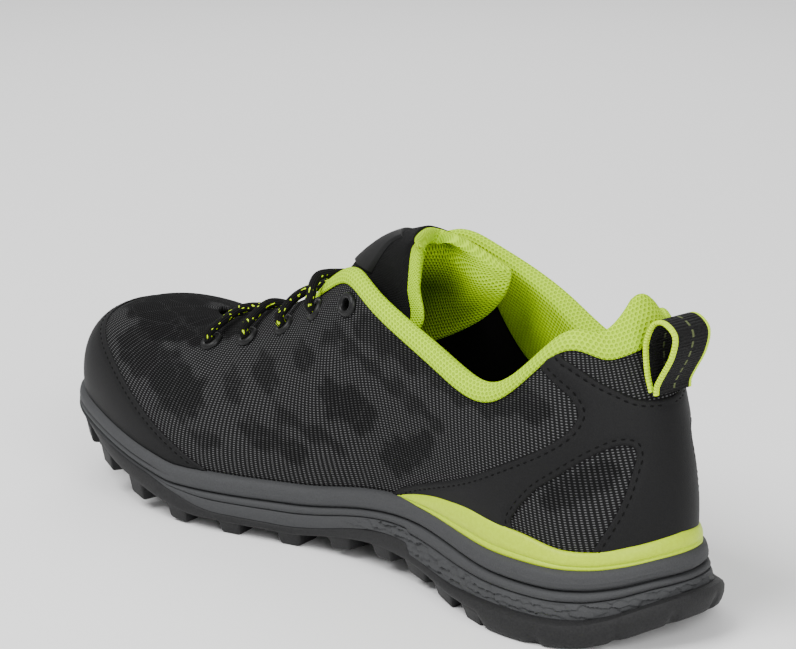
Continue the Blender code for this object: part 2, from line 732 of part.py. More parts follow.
def build_heel_band(collection):
    """Strip round the heel on the midsole's shoulder, thinning to a point on both sides."""
    columns = np.arange(-COLUMNS, COLUMNS) * LOOP / COLUMNS
    places = columns[np.abs(columns) < BAND["rib"][-1]]
    sections = []
    for u in places:
        height = smooth_through(abs(u), BAND["rib"], BAND["up"])
        thin = BAND_THIN + (1 - BAND_THIN) * ease(height, 0.0, BAND_FULL)
        rows = BAND_SECTION["up"] * height / rib_length(u)
        outs = BAND_IN + BAND_SECTION["out"] * BAND_OUT * thin
        sections.append(last_offset(np.full(len(rows), u), rows, outs))
    return loft("heel_band", sections, LIME_FOAM, collection, wrap=False)


def build_collar(collection):
    columns = np.arange(-COLUMNS, COLUMNS) * LOOP / COLUMNS
    places = columns[np.abs(columns) <= COLLAR_END]
    sections = []
    for u in places:
        pad = float(ease(abs(u), PAD_FROM, PAD_TO))
        sink = COLLAR_SINK * float(ease(abs(u), SINK_FROM, SINK_TO))
        heel = math.exp(-((u / HEEL_TAB) ** 2))
        length = rib_length(u)
        edge, normal, up = last_frame(np.array(u), np.array(1.0))
        section = []
        for row in COLLAR_SECTION:
            out = row["out"] - pad * COLLAR_PAD * row["pad"]
            rise = row["up"] - row["sink"] * sink
            if rise > 0:
                section.append(edge + normal * out + up * (rise + heel * HEEL_ROLL * (row["up"] > 1)))
            else:
                section.append(last_offset(np.array(u), np.array(1 + rise / length), np.array(out)))
        sections.append(section)
    return loft("collar", sections, LIME_KNIT, collection, wrap=False)


def tongue_point(s, w):
    """Outer face of the tongue: s runs up its length, w from -1 (inner edge) to 1 across."""
    rows = np.linspace(0, 1, len(TONGUE))
    length = np.hypot(np.ptp(TONGUE["along"]) * LENGTH, np.ptp(TONGUE["up"]))
    short = TONGUE_SLANT * ((w + 1) / 2) ** 3 + TONGUE_CORNER * np.abs(w) ** 6
    s = s - short / length * ease(s, TONGUE_SLANT_FROM, 1.0)
    row = {name: smooth_through(s, rows, TONGUE[name]) for name in TONGUE.dtype.names}
    shift = MOUTH_SHIFT * ease(row["along"], MOUTH_SHIFT_FROM, MOUTH_SHIFT_TO)
    fall = row["fall"] * w * w * (1 + row["lean"] * np.maximum(w, 0))
    angle = np.radians(row["angle"])
    return np.stack(
        [
            row["along"] * LENGTH - fall * np.cos(angle),
            shift + w * row["half"],
            row["up"] - fall * np.sin(angle),
        ],
        -1,
    )


def tongue_offset(s, w, depth):
    """Points at a depth behind the tongue's outer face, in millimetres."""
    step = STEP
    s_in, w_in = np.clip(s, step, 1 - step), np.clip(w, step - 1, 1 - step)
    up = tongue_point(s_in + step, w_in) - tongue_point(s_in - step, w_in)
    across = tongue_point(s_in, w_in + step) - tongue_point(s_in, w_in - step)
    normal = np.cross(up, across)
    normal /= np.linalg.norm(normal, axis=-1, keepdims=True)
    return tongue_point(s, w) + normal * depth[..., None]


def tongue_slab(name, s, w, near, far, finish, collection):
    """Closed slab over a grid of the tongue between two depths, given as functions of s and w."""
    s, w = np.meshgrid(s, w, indexing="ij")
    outer, inner = tongue_offset(s, w, near(s, w)), tongue_offset(s, w, far(s, w))
    rings = np.concatenate([outer, inner[:, ::-1]], 1)
    return loft(name, rings, finish, collection, wrap=False, caps="fold")


def build_tongue(collection):
    def thickness(s, w):
        rows = np.linspace(0, 1, len(TONGUE))
        return smooth_through(s, rows, TONGUE["thick"]) * (1 - TONGUE_EDGE * w**4)

    s, w = np.linspace(0, 1, TONGUE_ROWS), np.linspace(-1, 1, TONGUE_COLUMNS)
    tongue_slab("tongue", s, w, lambda s, w: 0 * s, thickness, BLACK_FABRIC, collection)
    step = 1 / (TONGUE_ROWS - 1)
    s = s[(s > PATCH_ROWS[0] - step / 2) & (s < PATCH_ROWS[1] + step / 2)]
    w = w[np.abs(w) < PATCH_HALF]

    def face(s, w):
        return np.full(s.shape, -PATCH_CLEAR - OVERLAY)

    def back(s, w):
        return np.full(s.shape, -PATCH_CLEAR)

    tongue_slab("tongue_patch", s, w, face, back, BLACK_SKIN, collection)


def beside_lacing(along, side, inset):
    """Frame on the upper at a distance in from the lacing edge, where it passes along."""
    u = np.linspace(LOOP / 4, LOOP / 2, SAMPLES)
    u = u if side < 0 else LOOP - u
    rows = np.array([1 - inset / rib_length(p) for p in u])
    best = np.argmin(np.abs(last_point(u, rows)[:, 0] - along))
    return last_frame(u[best], rows[best])


def build_eyelets(collection):
    for side, word in ((-1, "inner"), (1, "outer")):
        for i, row in enumerate(EYELETS):
            point, normal, _ = beside_lacing(row["along"] * LENGTH, side, row["inset"])
            bpy.ops.mesh.primitive_torus_add(
                major_radius=EYELET_RING * MM,
                minor_radius=EYELET_WIRE * MM,
                major_segments=8,
                minor_segments=4,
            )
            ring = bpy.context.object
            ring.name = ring.data.name = f"eyelet_{word}_{i + 1}"
            for holder in ring.users_collection:
                holder.objects.unlink(ring)
            collection.objects.link(ring)
            ring.rotation_mode = "QUATERNION"
            ring.rotation_quaternion = Vector(place(normal)).to_track_quat("Z", "Y")
            ring.location = place(point + normal * (EYELET_WIRE + EYELET_CLEAR))
            ring.data.materials.append(material(BLACK_SKIN))
            ring.data.shade_smooth()


def curve_to_mesh(name, drawn, finish, collection):
    """Closed mesh object from a curve object, which is removed."""
    bpy.context.view_layer.update()
    graph = bpy.context.evaluated_depsgraph_get()
    mesh = bpy.data.meshes.new_from_object(drawn.evaluated_get(graph))
    mesh.transform(drawn.matrix_world)
    bpy.data.objects.remove(drawn)
    work = bmesh.new()
    work.from_mesh(mesh)
    bmesh.ops.remove_doubles(work, verts=work.verts, dist=1e-6)
    bmesh.ops.recalc_face_normals(work, faces=work.faces)
    work.to_mesh(mesh)
    work.free()
    mesh.materials.clear()
    return finish_object(name, mesh, finish, collection)


def lace_run(name, start, end, finish, collection):
    """One straight run of lace between two points of the lacing edges."""
    line = bpy.data.curves.new(name, "CURVE")
    line.dimensions = "3D"
    line.bevel_depth = LACE / 2 * MM
    line.bevel_resolution = 2
    line.use_fill_caps = True
    spline = line.splines.new("POLY")
    spline.points.add(1)
    for point, co in zip(spline.points, (start, end)):
        point.co = (*place(co), 1)
    drawn = bpy.data.objects.new(name, line)
    collection.objects.link(drawn)
    return curve_to_mesh(name, drawn, finish, collection)


def build_lace(collection, cutters):
    """A bar over the lowest pair of eyelets, then crossings up to the highest laced pair, joined."""
    ends = {}
    for side in (-1, 1):
        for row in range(LACED_ROWS):
            point, normal, _ = beside_lacing(EYELETS["along"][row] * LENGTH, side, LACE_INSET)
            lift = LACE_LIFT + LACE_BINDING_LIFT * (row == LACED_ROWS - 1)
            ends[side, row] = point + normal * lift
    lace = lace_run("lace", ends[-1, 0], ends[1, 0], BLACK_WEBBING, collection)
    runs = new_collection("lace runs")
    for row in range(LACED_ROWS - 1):
        for side, word in ((-1, "inner"), (1, "outer")):
            run = lace_run(f"lace_{word}_{row}", ends[side, row], ends[-side, row + 1], None, cutters)
            runs.objects.link(as_helper(run))
    join_all(lace, runs)


def build_pull_loop(collection):
    path = np.array(LOOP_PATH)
    rows = np.linspace(0, 1, SAMPLES)
    wall = last_point(np.zeros(SAMPLES), rows)
    along = np.interp(path[:, 1], wall[:, 2], wall[:, 0]) - path[:, 0]
    line = np.stack([along, path[:, 1]], -1)
    way = np.gradient(line, axis=0)
    way /= np.linalg.norm(way, axis=1, keepdims=True)
    side = np.stack([way[:, 1], -way[:, 0]], -1) * LOOP_THICK / 2
    outline = np.concatenate([line + side, (line - side)[::-1]])
    rings = [
        np.stack([outline[:, 0], np.full(len(outline), across), outline[:, 1]], -1)
        for across in (-LOOP_WIDTH / 2, LOOP_WIDTH / 2)
    ]
    loft("pull_loop", rings, BLACK_WEBBING, collection, wrap=False, caps="fold")


def build(collection, cutters):
    build_outsole(collection, cutters)
    build_midsole(collection)
    build_insole(collection)
    build_upper(collection)
    build_heel_band(collection)
    build_toe_cap(collection, cutters)
    build_heel_counter(collection, cutters)
    build_collar(collection)
    build_tongue(collection)
    build_eyelets(collection)
    build_lace(collection, cutters)
    build_pull_loop(collection)


def stand_on_origin(collection, helpers):
    """Hang the pieces on an empty that puts the middle of their common box over the origin."""
    bpy.context.view_layer.update()
    graph = bpy.context.evaluated_depsgraph_get()
    corners = np.array(
        [
            thing.matrix_world @ Vector(corner)
            for thing in collection.objects
            for corner in thing.evaluated_get(graph).bound_box
        ]
    )
    middle = (corners.min(0) + corners.max(0)) / 2
    stand = bpy.data.objects.new("shoe", None)
    collection.objects.link(stand)
    for thing in [*collection.objects, *helpers.objects]:
        if thing is not stand:
            thing.parent = stand
    stand.location = (-middle[0], -middle[1], 0)


clear_scene()
shoe, cutters = new_collection("trail shoe"), new_collection("cutters")
build(shoe, cutters)
stand_on_origin(shoe, cutters)
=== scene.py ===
import math
from functools import partial

import bmesh
import bpy
import numpy as np
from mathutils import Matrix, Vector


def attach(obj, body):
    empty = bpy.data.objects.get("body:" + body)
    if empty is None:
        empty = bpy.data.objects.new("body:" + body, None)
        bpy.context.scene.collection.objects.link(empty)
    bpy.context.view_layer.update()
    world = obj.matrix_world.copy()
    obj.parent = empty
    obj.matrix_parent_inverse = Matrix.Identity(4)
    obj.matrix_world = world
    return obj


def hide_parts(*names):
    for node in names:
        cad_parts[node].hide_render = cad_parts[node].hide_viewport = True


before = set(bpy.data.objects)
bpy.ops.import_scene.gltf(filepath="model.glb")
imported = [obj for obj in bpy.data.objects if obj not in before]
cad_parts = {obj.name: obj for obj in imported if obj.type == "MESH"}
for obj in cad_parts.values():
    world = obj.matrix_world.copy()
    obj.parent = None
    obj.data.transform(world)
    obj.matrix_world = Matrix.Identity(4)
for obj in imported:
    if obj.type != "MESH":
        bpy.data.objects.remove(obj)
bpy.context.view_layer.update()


# Outsole. One moulding of black rubber, glued under the foam: a thin plate that climbs the wall beside the
# ball and steps down at the waist, a thick rim round the heel, and tapered lugs that stand on the ground.
LENGTH, BALL_WIDTH = 294.0, 103.0  # tables are in millimetres or in shares of these two
HEEL_X, MIDDLE_Y = 145.364, -0.524  # the back of the heel and the middle line, in the frame
RIBS_ROUND = 24  # rib places round the shoe: 0 heel, inner side, 12 toe, outer side


def table(columns, *rows):
    """Rows of numbers with named columns."""
    return np.array(list(rows), [(name, float) for name in columns.split()])


PLAN = table(
    "along inner outer",  # from the heel's back, past waist and ball, to the toe tip
    (0.012, 0.0, 0.0), (0.040, 0.200, 0.172), (0.102, 0.316, 0.294), (0.190, 0.340, 0.338), (0.292, 0.314, 0.350),
    (0.391, 0.302, 0.364), (0.493, 0.326, 0.408), (0.592, 0.408, 0.480), (0.694, 0.492, 0.520),
    (0.792, 0.506, 0.486), (0.884, 0.456, 0.394), (0.963, 0.350, 0.214), (1.000, 0.116, -0.116),
)
SOLE = table(
    "along top floor",
    (-0.03, 30.6, 11.0), (0.00, 30.4, 7.0), (0.03, 28.0, 2.8), (0.06, 26.4, 0.6), (0.10, 25.6, 0.0),
    (0.20, 26.0, 0.0), (0.31, 26.5, 0.0), (0.41, 25.6, 0.0), (0.51, 24.0, 0.0), (0.61, 22.7, 0.0),
    (0.66, 22.5, 0.0), (0.70, 22.6, 0.8), (0.75, 25.0, 3.0), (0.82, 29.0, 7.8), (0.89, 32.6, 12.8),
    (0.97, 35.8, 18.4), (1.03, 37.2, 21.5),
)
ARCH = {"top": (5.5, 0.35, 0.18), "floor": (6.0, 0.39, 0.155)}  # height, middle and half length
ARCH_MIDDLE, ARCH_TILT = 0.65, 0.35
LUG, PLATE, HEEL_PLATE = 5.0, 3.2, 1.5
TOP_BAND, TOE_CLIMB_FROM, TOE_CLIMB_TO, TOE_CLIMB_GAP = 7.0, 0.63, 0.755, 0.5
WAIST_STEP, WAIST_STEP_AT, WAIST_STEP_HALF, WAIST_STEP_BACK = 3.6, 0.333, 0.004, 0.16
OUTSOLE_WALL = table(
    "out heel_out share down",  # from the lip against the foam to the tread of the rim and the root of the lugs
    (0.6, 2.6, 1.02, 0.0), (2.2, 4.3, 1.0, 0.0), (2.7, 5.6, 0.94, 0.0), (3.0, 6.9, 0.78, 0.02),
    (3.1, 7.5, 0.52, 0.14), (3.0, 7.5, 0.25, 0.38), (2.6, 7.2, 0.06, 0.66), (2.3, 6.6, 0.0, 0.88),
    (2.0, 5.8, 0.0, 0.97), (1.8, 4.8, 0.0, 1.0), (1.6, -5.0, 0.0, 1.0), (1.4, -5.8, 0.0, 0.2), (1.2, -6.2, 0.0, 0.0),
)
RIM_FROM, RIM_TO = 0.190, 0.168
RIM_NOTCHES, NOTCH, NOTCH_HALF = (0.35, 1.05, 2.05), 1.7, 0.07
TOE_TUCK, TOE_TUCK_FROM, TOE_TUCK_TO = 4.0, 0.80, 0.98
HEEL_FLARE_FROM, HEEL_FLARE_TO = 0.34, 0.12
EDGE_LUGS = table(
    "along half",
    (0.197, 5.5), (0.262, 6.5), (0.324, 6.0), (0.387, 5.0), (0.461, 5.2), (0.539, 5.0),
    (0.622, 4.8), (0.702, 4.8), (0.781, 4.8), (0.860, 5.0), (0.932, 5.0), (0.985, 4.5),
)
EDGE_LUG_DEPTH, EDGE_LUG_OUT, EDGE_LUG_HEEL_OUT = 15.0, 1.6, 8.4
TOE_LUG, TOE_LUG_FROM, TOE_LUG_TO, TOE_LUG_TUCK = 2.4, 0.66, 0.78, 0.1
MIDDLE_LUGS = (0.12, 0.58, 0.66, 0.74, 0.82, 0.895)
MIDDLE_LUG_ALONG, MIDDLE_LUG_ACROSS, MIDDLE_LUG_SPREAD = 11.0, 13.0, 0.30
LUG_TAPER, LUG_ROUND, LUG_SEARCH = 1.3, 1.1, 1.2  # the last in ribs to each side of a lug
# Rings of a lug from its root: how far drawn in, share of the way up from the floor, and rise from there
LUG_RINGS = ((-0.6, 1, PLATE / 2), (-0.5, 1, -0.2), (0.1, 1, -0.9), (LUG_TAPER, 0, 0.7), (LUG_TAPER + 0.6, 0, 0.0))
RUBBER_DISH = 0.1
SOLE_COLUMNS = 720


def ease(x, start, end):
    """Smooth step from 0 at start to 1 at end."""
    t = np.clip((np.asarray(x, float) - start) / (end - start), 0.0, 1.0)
    return t * t * (3.0 - 2.0 * t)


def bump(x, height, middle, half):
    """Smooth rise of a given height that is nothing beyond its half length."""
    t = np.clip((x - middle) / half, -1.0, 1.0)
    return height * (1 - t * t) ** 2


def unit(ways):
    """Directions made one long."""
    return ways / np.linalg.norm(ways, axis=-1, keepdims=True)


def cubic(t, start, end, slope, end_slope):
    """Cubic from start at t 0 to end at t 1, with a given slope at each."""
    back = (1 - t) ** 2
    return start * (1 + 2 * t) * back + end * t * t * (3 - 2 * t) + slope * t * back - end_slope * t * t * (1 - t)


def smooth_through(x, xs, ys):
    """Cubic through the rows of a table that doesn't overshoot between them."""
    xs, ys = np.asarray(xs, float), np.asarray(ys, float)
    steps = np.diff(xs)
    slopes = np.diff(ys) / steps
    before, after = slopes[:-1], slopes[1:]
    same_way = before * after > 0
    inner = np.where(same_way, 2 * before * after / np.where(same_way, before + after, 1.0), 0.0)
    tangents = np.concatenate([slopes[:1], inner, slopes[-1:]])
    x = np.clip(np.asarray(x, float), xs[0], xs[-1])
    i = np.clip(np.searchsorted(xs, x, side="right") - 1, 0, len(xs) - 2)
    return cubic((x - xs[i]) / steps[i], ys[i], ys[i + 1], steps[i] * tangents[i], steps[i] * tangents[i + 1])


def closed_spline(values, u):
    """Smooth closed curve through values at u = 0, 1, 2 and so on; values may be points."""
    values, u = np.asarray(values, float), np.asarray(u, float)
    n = len(values)
    system = 4 * np.eye(n) + np.roll(np.eye(n), 1, 0) + np.roll(np.eye(n), -1, 0)
    slopes = np.linalg.solve(system, 3 * (np.roll(values, -1, 0) - np.roll(values, 1, 0)))
    i = np.floor(u).astype(int)
    t = (u - i).reshape(u.shape + (1,) * (values.ndim - 1))
    a, b = i % n, (i + 1) % n
    return cubic(t, values[a], values[b], slopes[a], slopes[b])


def round_trip(inner, outer):
    """A table column for the whole loop: the inner side from heel to toe, then the outer side back."""
    return np.concatenate([inner, outer[-2:0:-1]])


def edge_line(u):
    """The sole's upper edge in plan, and its outward direction, at rib places u."""
    along = round_trip(PLAN["along"], PLAN["along"]) * LENGTH
    across = round_trip(-PLAN["inner"], PLAN["outer"]) * BALL_WIDTH
    plan, step = np.stack([along, across], -1), 1e-3
    way = closed_spline(plan, u + step) - closed_spline(plan, u - step)
    return closed_spline(plan, u), unit(np.stack([way[..., 1], -way[..., 0]], -1))


def sole_height(plan, row):
    """Height of the sole's upper edge ("top") or of the lugs' underside ("floor"): a side view plus the arch."""
    share = plan[..., 0] / LENGTH
    tilt = np.clip(ARCH_MIDDLE - ARCH_TILT * plan[..., 1] / (BALL_WIDTH / 2), 0.0, 1.0)
    return smooth_through(share, SOLE["along"], SOLE[row]) + tilt * bump(share, *ARCH[row])


def heel_share(along):
    """Smooth step from 0 at the waist to 1 under the heel."""
    return ease(along / LENGTH, HEEL_FLARE_FROM, HEEL_FLARE_TO)


def toe_tuck(along):
    """How far the rubber is drawn in at the toe, by a smooth step."""
    return TOE_TUCK * ease(along / LENGTH, TOE_TUCK_FROM, TOE_TUCK_TO)


def outsole_top(plan):
    """Upper edge of the rubber: lugs and plate over the floor, with a step at the waist.

    Round the toe it climbs to just under the top band of the foam.
    """
    share = plan[..., 0] / LENGTH
    step = ease(share, WAIST_STEP_AT - WAIST_STEP_HALF, WAIST_STEP_AT + WAIST_STEP_HALF)
    step = step * ease(share, WAIST_STEP_AT + WAIST_STEP_BACK, WAIST_STEP_AT)
    plate = sole_height(plan, "floor") + LUG + PLATE + WAIST_STEP * step + HEEL_PLATE * heel_share(plan[..., 0])
    climb = ease(share, TOE_CLIMB_FROM, TOE_CLIMB_TO)
    return plate + climb * (sole_height(plan, "top") - TOP_BAND - TOE_CLIMB_GAP - plate)


def lug_root(plan):
    """Height of the plate's underside, from which the lugs stand down; they are longer at the toe."""
    return sole_height(plan, "floor") + LUG + TOE_LUG * ease(plan[..., 0] / LENGTH, TOE_LUG_FROM, TOE_LUG_TO)


def place(points):
    """Along, across and up in millimetres to metres in the frame, where the toe points to -X."""
    points = np.asarray(points, float)
    return np.stack([HEEL_X - points[..., 0], points[..., 1] + MIDDLE_Y, points[..., 2]], -1) * 0.001


def grid_faces(rows, columns, wrap=False):
    """Corner numbers of a grid's cells. They face outwards where columns run round the shoe and rows run up."""
    index = np.arange(rows * columns).reshape(rows, columns)
    if wrap:
        index = np.concatenate([index, index[:, :1]], 1)
    return np.stack([index[:-1, :-1], index[1:, :-1], index[1:, 1:], index[:-1, 1:]], -1).reshape(-1, 4)


def capped_tubes(count, rows, columns, first=0):
    """Faces of a number of like tubes of rings, with caps on their two ends."""
    starts = first + rows * columns * np.arange(count)[:, None]
    faces = (grid_faces(rows, columns, wrap=True) + starts[..., None]).reshape(-1, 4).tolist()
    for end in (0, (rows - 1) * columns):
        faces += (np.arange(end, end + columns) + starts).tolist()
    return faces


def new_piece(name, points, faces, material, slot, node=None, uv=None, closed=True, crease=40.0, values=()):
    """Mesh object at the origin from points in millimetres and faces as corner numbers.

    uv is a place on the cloth for each point, and values holds further numbers for each point by name. With a
    slot the piece rides on the shoe's one body, and the solid named by node is hidden.
    """
    mesh = bpy.data.meshes.new(name)
    mesh.from_pydata(place(points).reshape(-1, 3).tolist(), [], [list(face) for face in faces])
    if uv is not None:
        corners = np.zeros(len(mesh.loops), np.int32)
        mesh.loops.foreach_get("vertex_index", corners)
        mesh.uv_layers.new(name="cloth").data.foreach_set("uv", uv.reshape(-1, 2)[corners].ravel())
    for key, numbers in dict(values).items():
        mesh.attributes.new(key, "FLOAT", "POINT").data.foreach_set("value", np.ravel(numbers))
    work = bmesh.new()
    work.from_mesh(mesh)
    bmesh.ops.remove_doubles(work, verts=work.verts, dist=2e-6)
    if closed:
        bmesh.ops.recalc_face_normals(work, faces=work.faces)
    work.to_mesh(mesh)
    work.free()
    mesh.materials.append(material)
    mesh.shade_smooth()
    mesh.set_sharp_from_angle(angle=math.radians(crease))
    made = bpy.data.objects.new(name, mesh)
    bpy.context.scene.collection.objects.link(made)
    if slot:
        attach(made, "root")
    if node:
        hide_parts(node)
    return made


def new_material(name, colour, roughness, specular):
    """Material with one Principled shader, its constant values set on the shader's own sockets."""
    made = bpy.data.materials.new(name)
    made.use_nodes = True
    sockets = made.node_tree.nodes["Principled BSDF"].inputs
    sockets["Base Color"].default_value = (*colour, 1.0)
    sockets["Roughness"].default_value = roughness
    sockets["Specular IOR Level"].default_value = specular
    return made


def wire(material, kind, values=(), **settings):
    """Add a node: settings are its properties, values its inputs, each a constant or another node's output."""
    made = material.node_tree.nodes.new("ShaderNode" + kind)
    for name, value in settings.items():
        setattr(made, name, value)
    for name, value in dict(values).items():
        if isinstance(value, bpy.types.NodeSocket):
            material.node_tree.links.new(value, made.inputs[name])
        else:
            made.inputs[name].default_value = value
    return made


def drive(material, socket, output):
    """Feed one of the Principled shader's sockets."""
    material.node_tree.links.new(output, material.node_tree.nodes["Principled BSDF"].inputs[socket])


def shade(material, factor, dark, light, start=0.0, end=1.0):
    """Colour that goes from dark to light as factor goes from start to end."""
    ramp = wire(material, "ValToRGB", {"Fac": factor})
    for element, position, colour in zip(ramp.color_ramp.elements, (start, end), (dark, light)):
        element.position, element.color = position, (*colour, 1.0)
    return ramp.outputs["Color"]


def relief(material, strength, depth, height):
    """Bump of a depth in metres."""
    node = wire(material, "Bump", {"Strength": strength, "Distance": depth, "Height": height})
    drive(material, "Normal", node.outputs["Normal"])


def grain(material, scale, detail, strength, depth):
    """Fine noise at a scale per metre, used as bump of a depth in metres; returns the noise."""
    vector = wire(material, "TexCoord").outputs["Object"]
    noise = wire(material, "TexNoise", {"Vector": vector, "Scale": scale, "Detail": detail}).outputs[0]
    relief(material, strength, depth, noise)
    return noise


def grained_material(name, colour, dark, light, spread, roughness, specular, *noise):
    """Material whose fine grain goes from a dark to a light colour over a spread of the noise."""
    made = new_material(name, colour, roughness, specular)
    drive(made, "Base Color", shade(made, grain(made, *noise), dark, light, *spread))
    return made


def loop_places(count):
    """Rib places at equal steps round the shoe."""
    return np.arange(count) * RIBS_ROUND / count


def raised(plan, height):
    """Plan points with their heights."""
    return np.concatenate([plan, height[..., None]], -1)


def run_along(points, axis=0):
    """Length gone along chains of points, from 0 at the first."""
    steps = np.linalg.norm(np.diff(points, axis=axis), axis=-1).cumsum(axis)
    return np.concatenate([np.zeros_like(np.take(steps, [0], axis)), steps], axis)


def sole_rings(u, rows, tuck, height_at):
    """Rings round the sole, one for each row of a wall table: out from the edge line, more at the heel."""
    line, way = edge_line(u)
    out = rows["out"][:, None] + rows["heel_out"][:, None] * heel_share(line[:, 0])
    plan = line + way * (out - tuck * toe_tuck(line[:, 0]))[..., None]
    return raised(plan, height_at(rows, plan))


def filled_in(ring, height_at, count=9):
    """Rings that draw a closed ring in to the sole's middle line, at heights worked out from the plan."""
    half = len(ring) // 2
    sides = ring[: half + 1], np.concatenate([ring[half:], ring[:1]])[::-1]
    reach = np.clip(ring[:, 0], sides[0][:, 0].min() + 16, sides[0][:, 0].max() - 16)
    edges = [np.interp(reach, *side[np.argsort(side[:, 0]), :2].T) for side in sides]
    spine = np.stack([reach, (edges[0] + edges[1]) / 2], -1)
    plan = spine + (ring[:, :2] - spine) * np.linspace(1, 0, count)[1:, None, None]
    return raised(plan, height_at(plan))


def closed_up(wall, first_at, last_at):
    """Rings of a wall with its first and its last one filled in."""
    return np.concatenate([filled_in(wall[0], first_at)[::-1], wall, filled_in(wall[-1], last_at)])


def rubber_wall_height(rows, plan):
    """Share of the way from the lugs' root to the rubber's upper edge, and down to the floor round the heel."""
    root = lug_root(plan)
    rim = LUG * ease(plan[..., 0] / LENGTH, RIM_FROM, RIM_TO)
    return root + rows["share"][:, None] * (outsole_top(plan) - root) - rows["down"][:, None] * rim


def rib_place_at(along, side):
    """Rib place where the edge line of the inner (-1) or outer (1) side passes along."""
    u = np.linspace(0, RIBS_ROUND / 2, 600)
    u = u if side < 0 else RIBS_ROUND - u
    return np.interp(along, edge_line(u)[0][:, 0], u)


def lug_corners():
    """Plan corners of all lugs, as (lugs, 4, 2): blocks in from the rim, and two rows of blocks in the middle."""
    corners = []
    a, c = MIDDLE_LUG_ALONG / 2, MIDDLE_LUG_ACROSS / 2
    square = np.array([(-a, c), (a, c), (a, -c), (-a, -c)])
    for side in (-1, 1):
        for row in EDGE_LUGS:
            middle = rib_place_at(row["along"] * LENGTH, side)
            near = np.linspace(middle - LUG_SEARCH, middle + LUG_SEARCH, 200)
            run = run_along(edge_line(near)[0])
            run = run - np.interp(middle, near, run)
            line, way = edge_line(np.interp([-row["half"], row["half"]], run, near))
            out = EDGE_LUG_OUT + EDGE_LUG_HEEL_OUT * heel_share(line[:, 0]) - TOE_LUG_TUCK * toe_tuck(line[:, 0])
            outer = line + way * out[:, None]
            inner = outer - way * EDGE_LUG_DEPTH
            corners.append([outer[0], outer[1], inner[1], inner[0]])
        for share in MIDDLE_LUGS:
            along = share * LENGTH
            edges = edge_line(np.array([rib_place_at(along, -1), rib_place_at(along, 1)]))[0][:, 1]
            corners.append(square + (along, edges.mean() + side * MIDDLE_LUG_SPREAD * np.ptp(edges) / 2))
    return np.array(corners)


def lug_rings(corners):
    """Rings of 12 points for each lug: a block with rounded corners that tapers, and a rounded foot."""
    ahead, back = unit(np.roll(corners, -1, 1) - corners), unit(np.roll(corners, 1, 1) - corners)
    fan = np.stack([back, (ahead + back) * 0.3, ahead], 2) * LUG_ROUND + corners[:, :, None]
    fan = fan.reshape(len(corners), 12, 2)
    inward = unit(corners.mean(1, keepdims=True) - fan)
    rings = []
    for draw, share, rise in LUG_RINGS:
        plan = fan + inward * draw
        floor = sole_height(plan, "floor")
        rings.append(raised(plan, floor + share * (lug_root(plan) - floor) + rise))
    return np.stack(rings, 1)


places = loop_places(SOLE_COLUMNS)
wall = sole_rings(places, OUTSOLE_WALL, 1 - OUTSOLE_WALL["share"][:, None], rubber_wall_height)
from_heel = np.abs((places + RIBS_ROUND / 2) % RIBS_ROUND - RIBS_ROUND / 2)
cut = sum(np.exp(-(((from_heel - notch) / NOTCH_HALF) ** 2)) for notch in RIM_NOTCHES)
cut = NOTCH * cut * (ease(OUTSOLE_WALL["down"], 0.1, 0.8) * (OUTSOLE_WALL["heel_out"] > 0))[:, None]
wall[..., :2] -= edge_line(places)[1] * cut[..., None]
rings = closed_up(wall, lambda plan: outsole_top(plan) - RUBBER_DISH, lug_root)
lugs = lug_rings(lug_corners())
faces = grid_faces(len(rings), SOLE_COLUMNS, wrap=True).tolist()
faces += capped_tubes(len(lugs), len(LUG_RINGS), 12, len(rings) * SOLE_COLUMNS)
rubber = grained_material(
    "black_rubber", (0.010, 0.010, 0.0105), (0.0075, 0.0075, 0.008), (0.015, 0.015, 0.0155), (0.3, 0.7),
    0.66, 0.25, 1500.0, 4.0, 0.35, 0.0004,
)
points = np.concatenate([rings.reshape(-1, 3), lugs.reshape(-1, 3)])
new_piece("outsole_rubber", points, faces, rubber, "rubber_black", "outsole")


# Midsole. Moulded grey foam between the rubber and the upper: a smooth band at the top, two drawn grooves,
# and below them a band of tilted scales that the mould leaves. The upper is glued into its dished top.
MIDSOLE_WALL = table(
    "out heel_out depth share",  # lip against the upper, top band, groove, middle band, groove, scales
    (-1.2, -0.6, -0.6, 0.0), (0.4, 0.1, -0.3, 0.0), (1.7, 0.9, 0.2, 0.0), (2.6, 1.5, 1.2, 0.0), (3.0, 1.6, 2.6, 0.0),
    (3.1, 1.6, 3.5, 0.0), (3.1, 1.7, 3.9, 0.0), (3.2, 1.7, 4.2, 0.0), (3.2, 1.7, 4.5, 0.0), (3.1, 1.7, 4.9, 0.0),
    (3.1, 1.8, 5.4, 0.0), (2.9, 1.8, 6.0, 0.0), (2.3, 1.8, 6.6, 0.0), (1.0, 1.6, 6.9, 0.0),
    (1.0, 1.6, 7.0, 0.03), (2.4, 2.1, 7.0, 0.05), (3.0, 2.3, 7.0, 0.11), (3.2, 2.5, 7.0, 0.22),
    (3.0, 2.6, 7.0, 0.34), (2.6, 2.6, 7.0, 0.37), (1.9, 2.5, 7.0, 0.385), (1.9, 2.5, 7.0, 0.40),
    (2.7, 2.9, 7.0, 0.415),
    *[(2.9 + 0.3 * math.sin(math.pi * t), 3.1 + 0.6 * t, 7.0, 0.44 + 0.56 * t) for t in np.linspace(0, 1, 15)],
)
SCALE_LONG, SCALE_HIGH, SCALE_RELIEF, SCALE_LEVEL = 3.8, 2.2, 1.0, 0.6
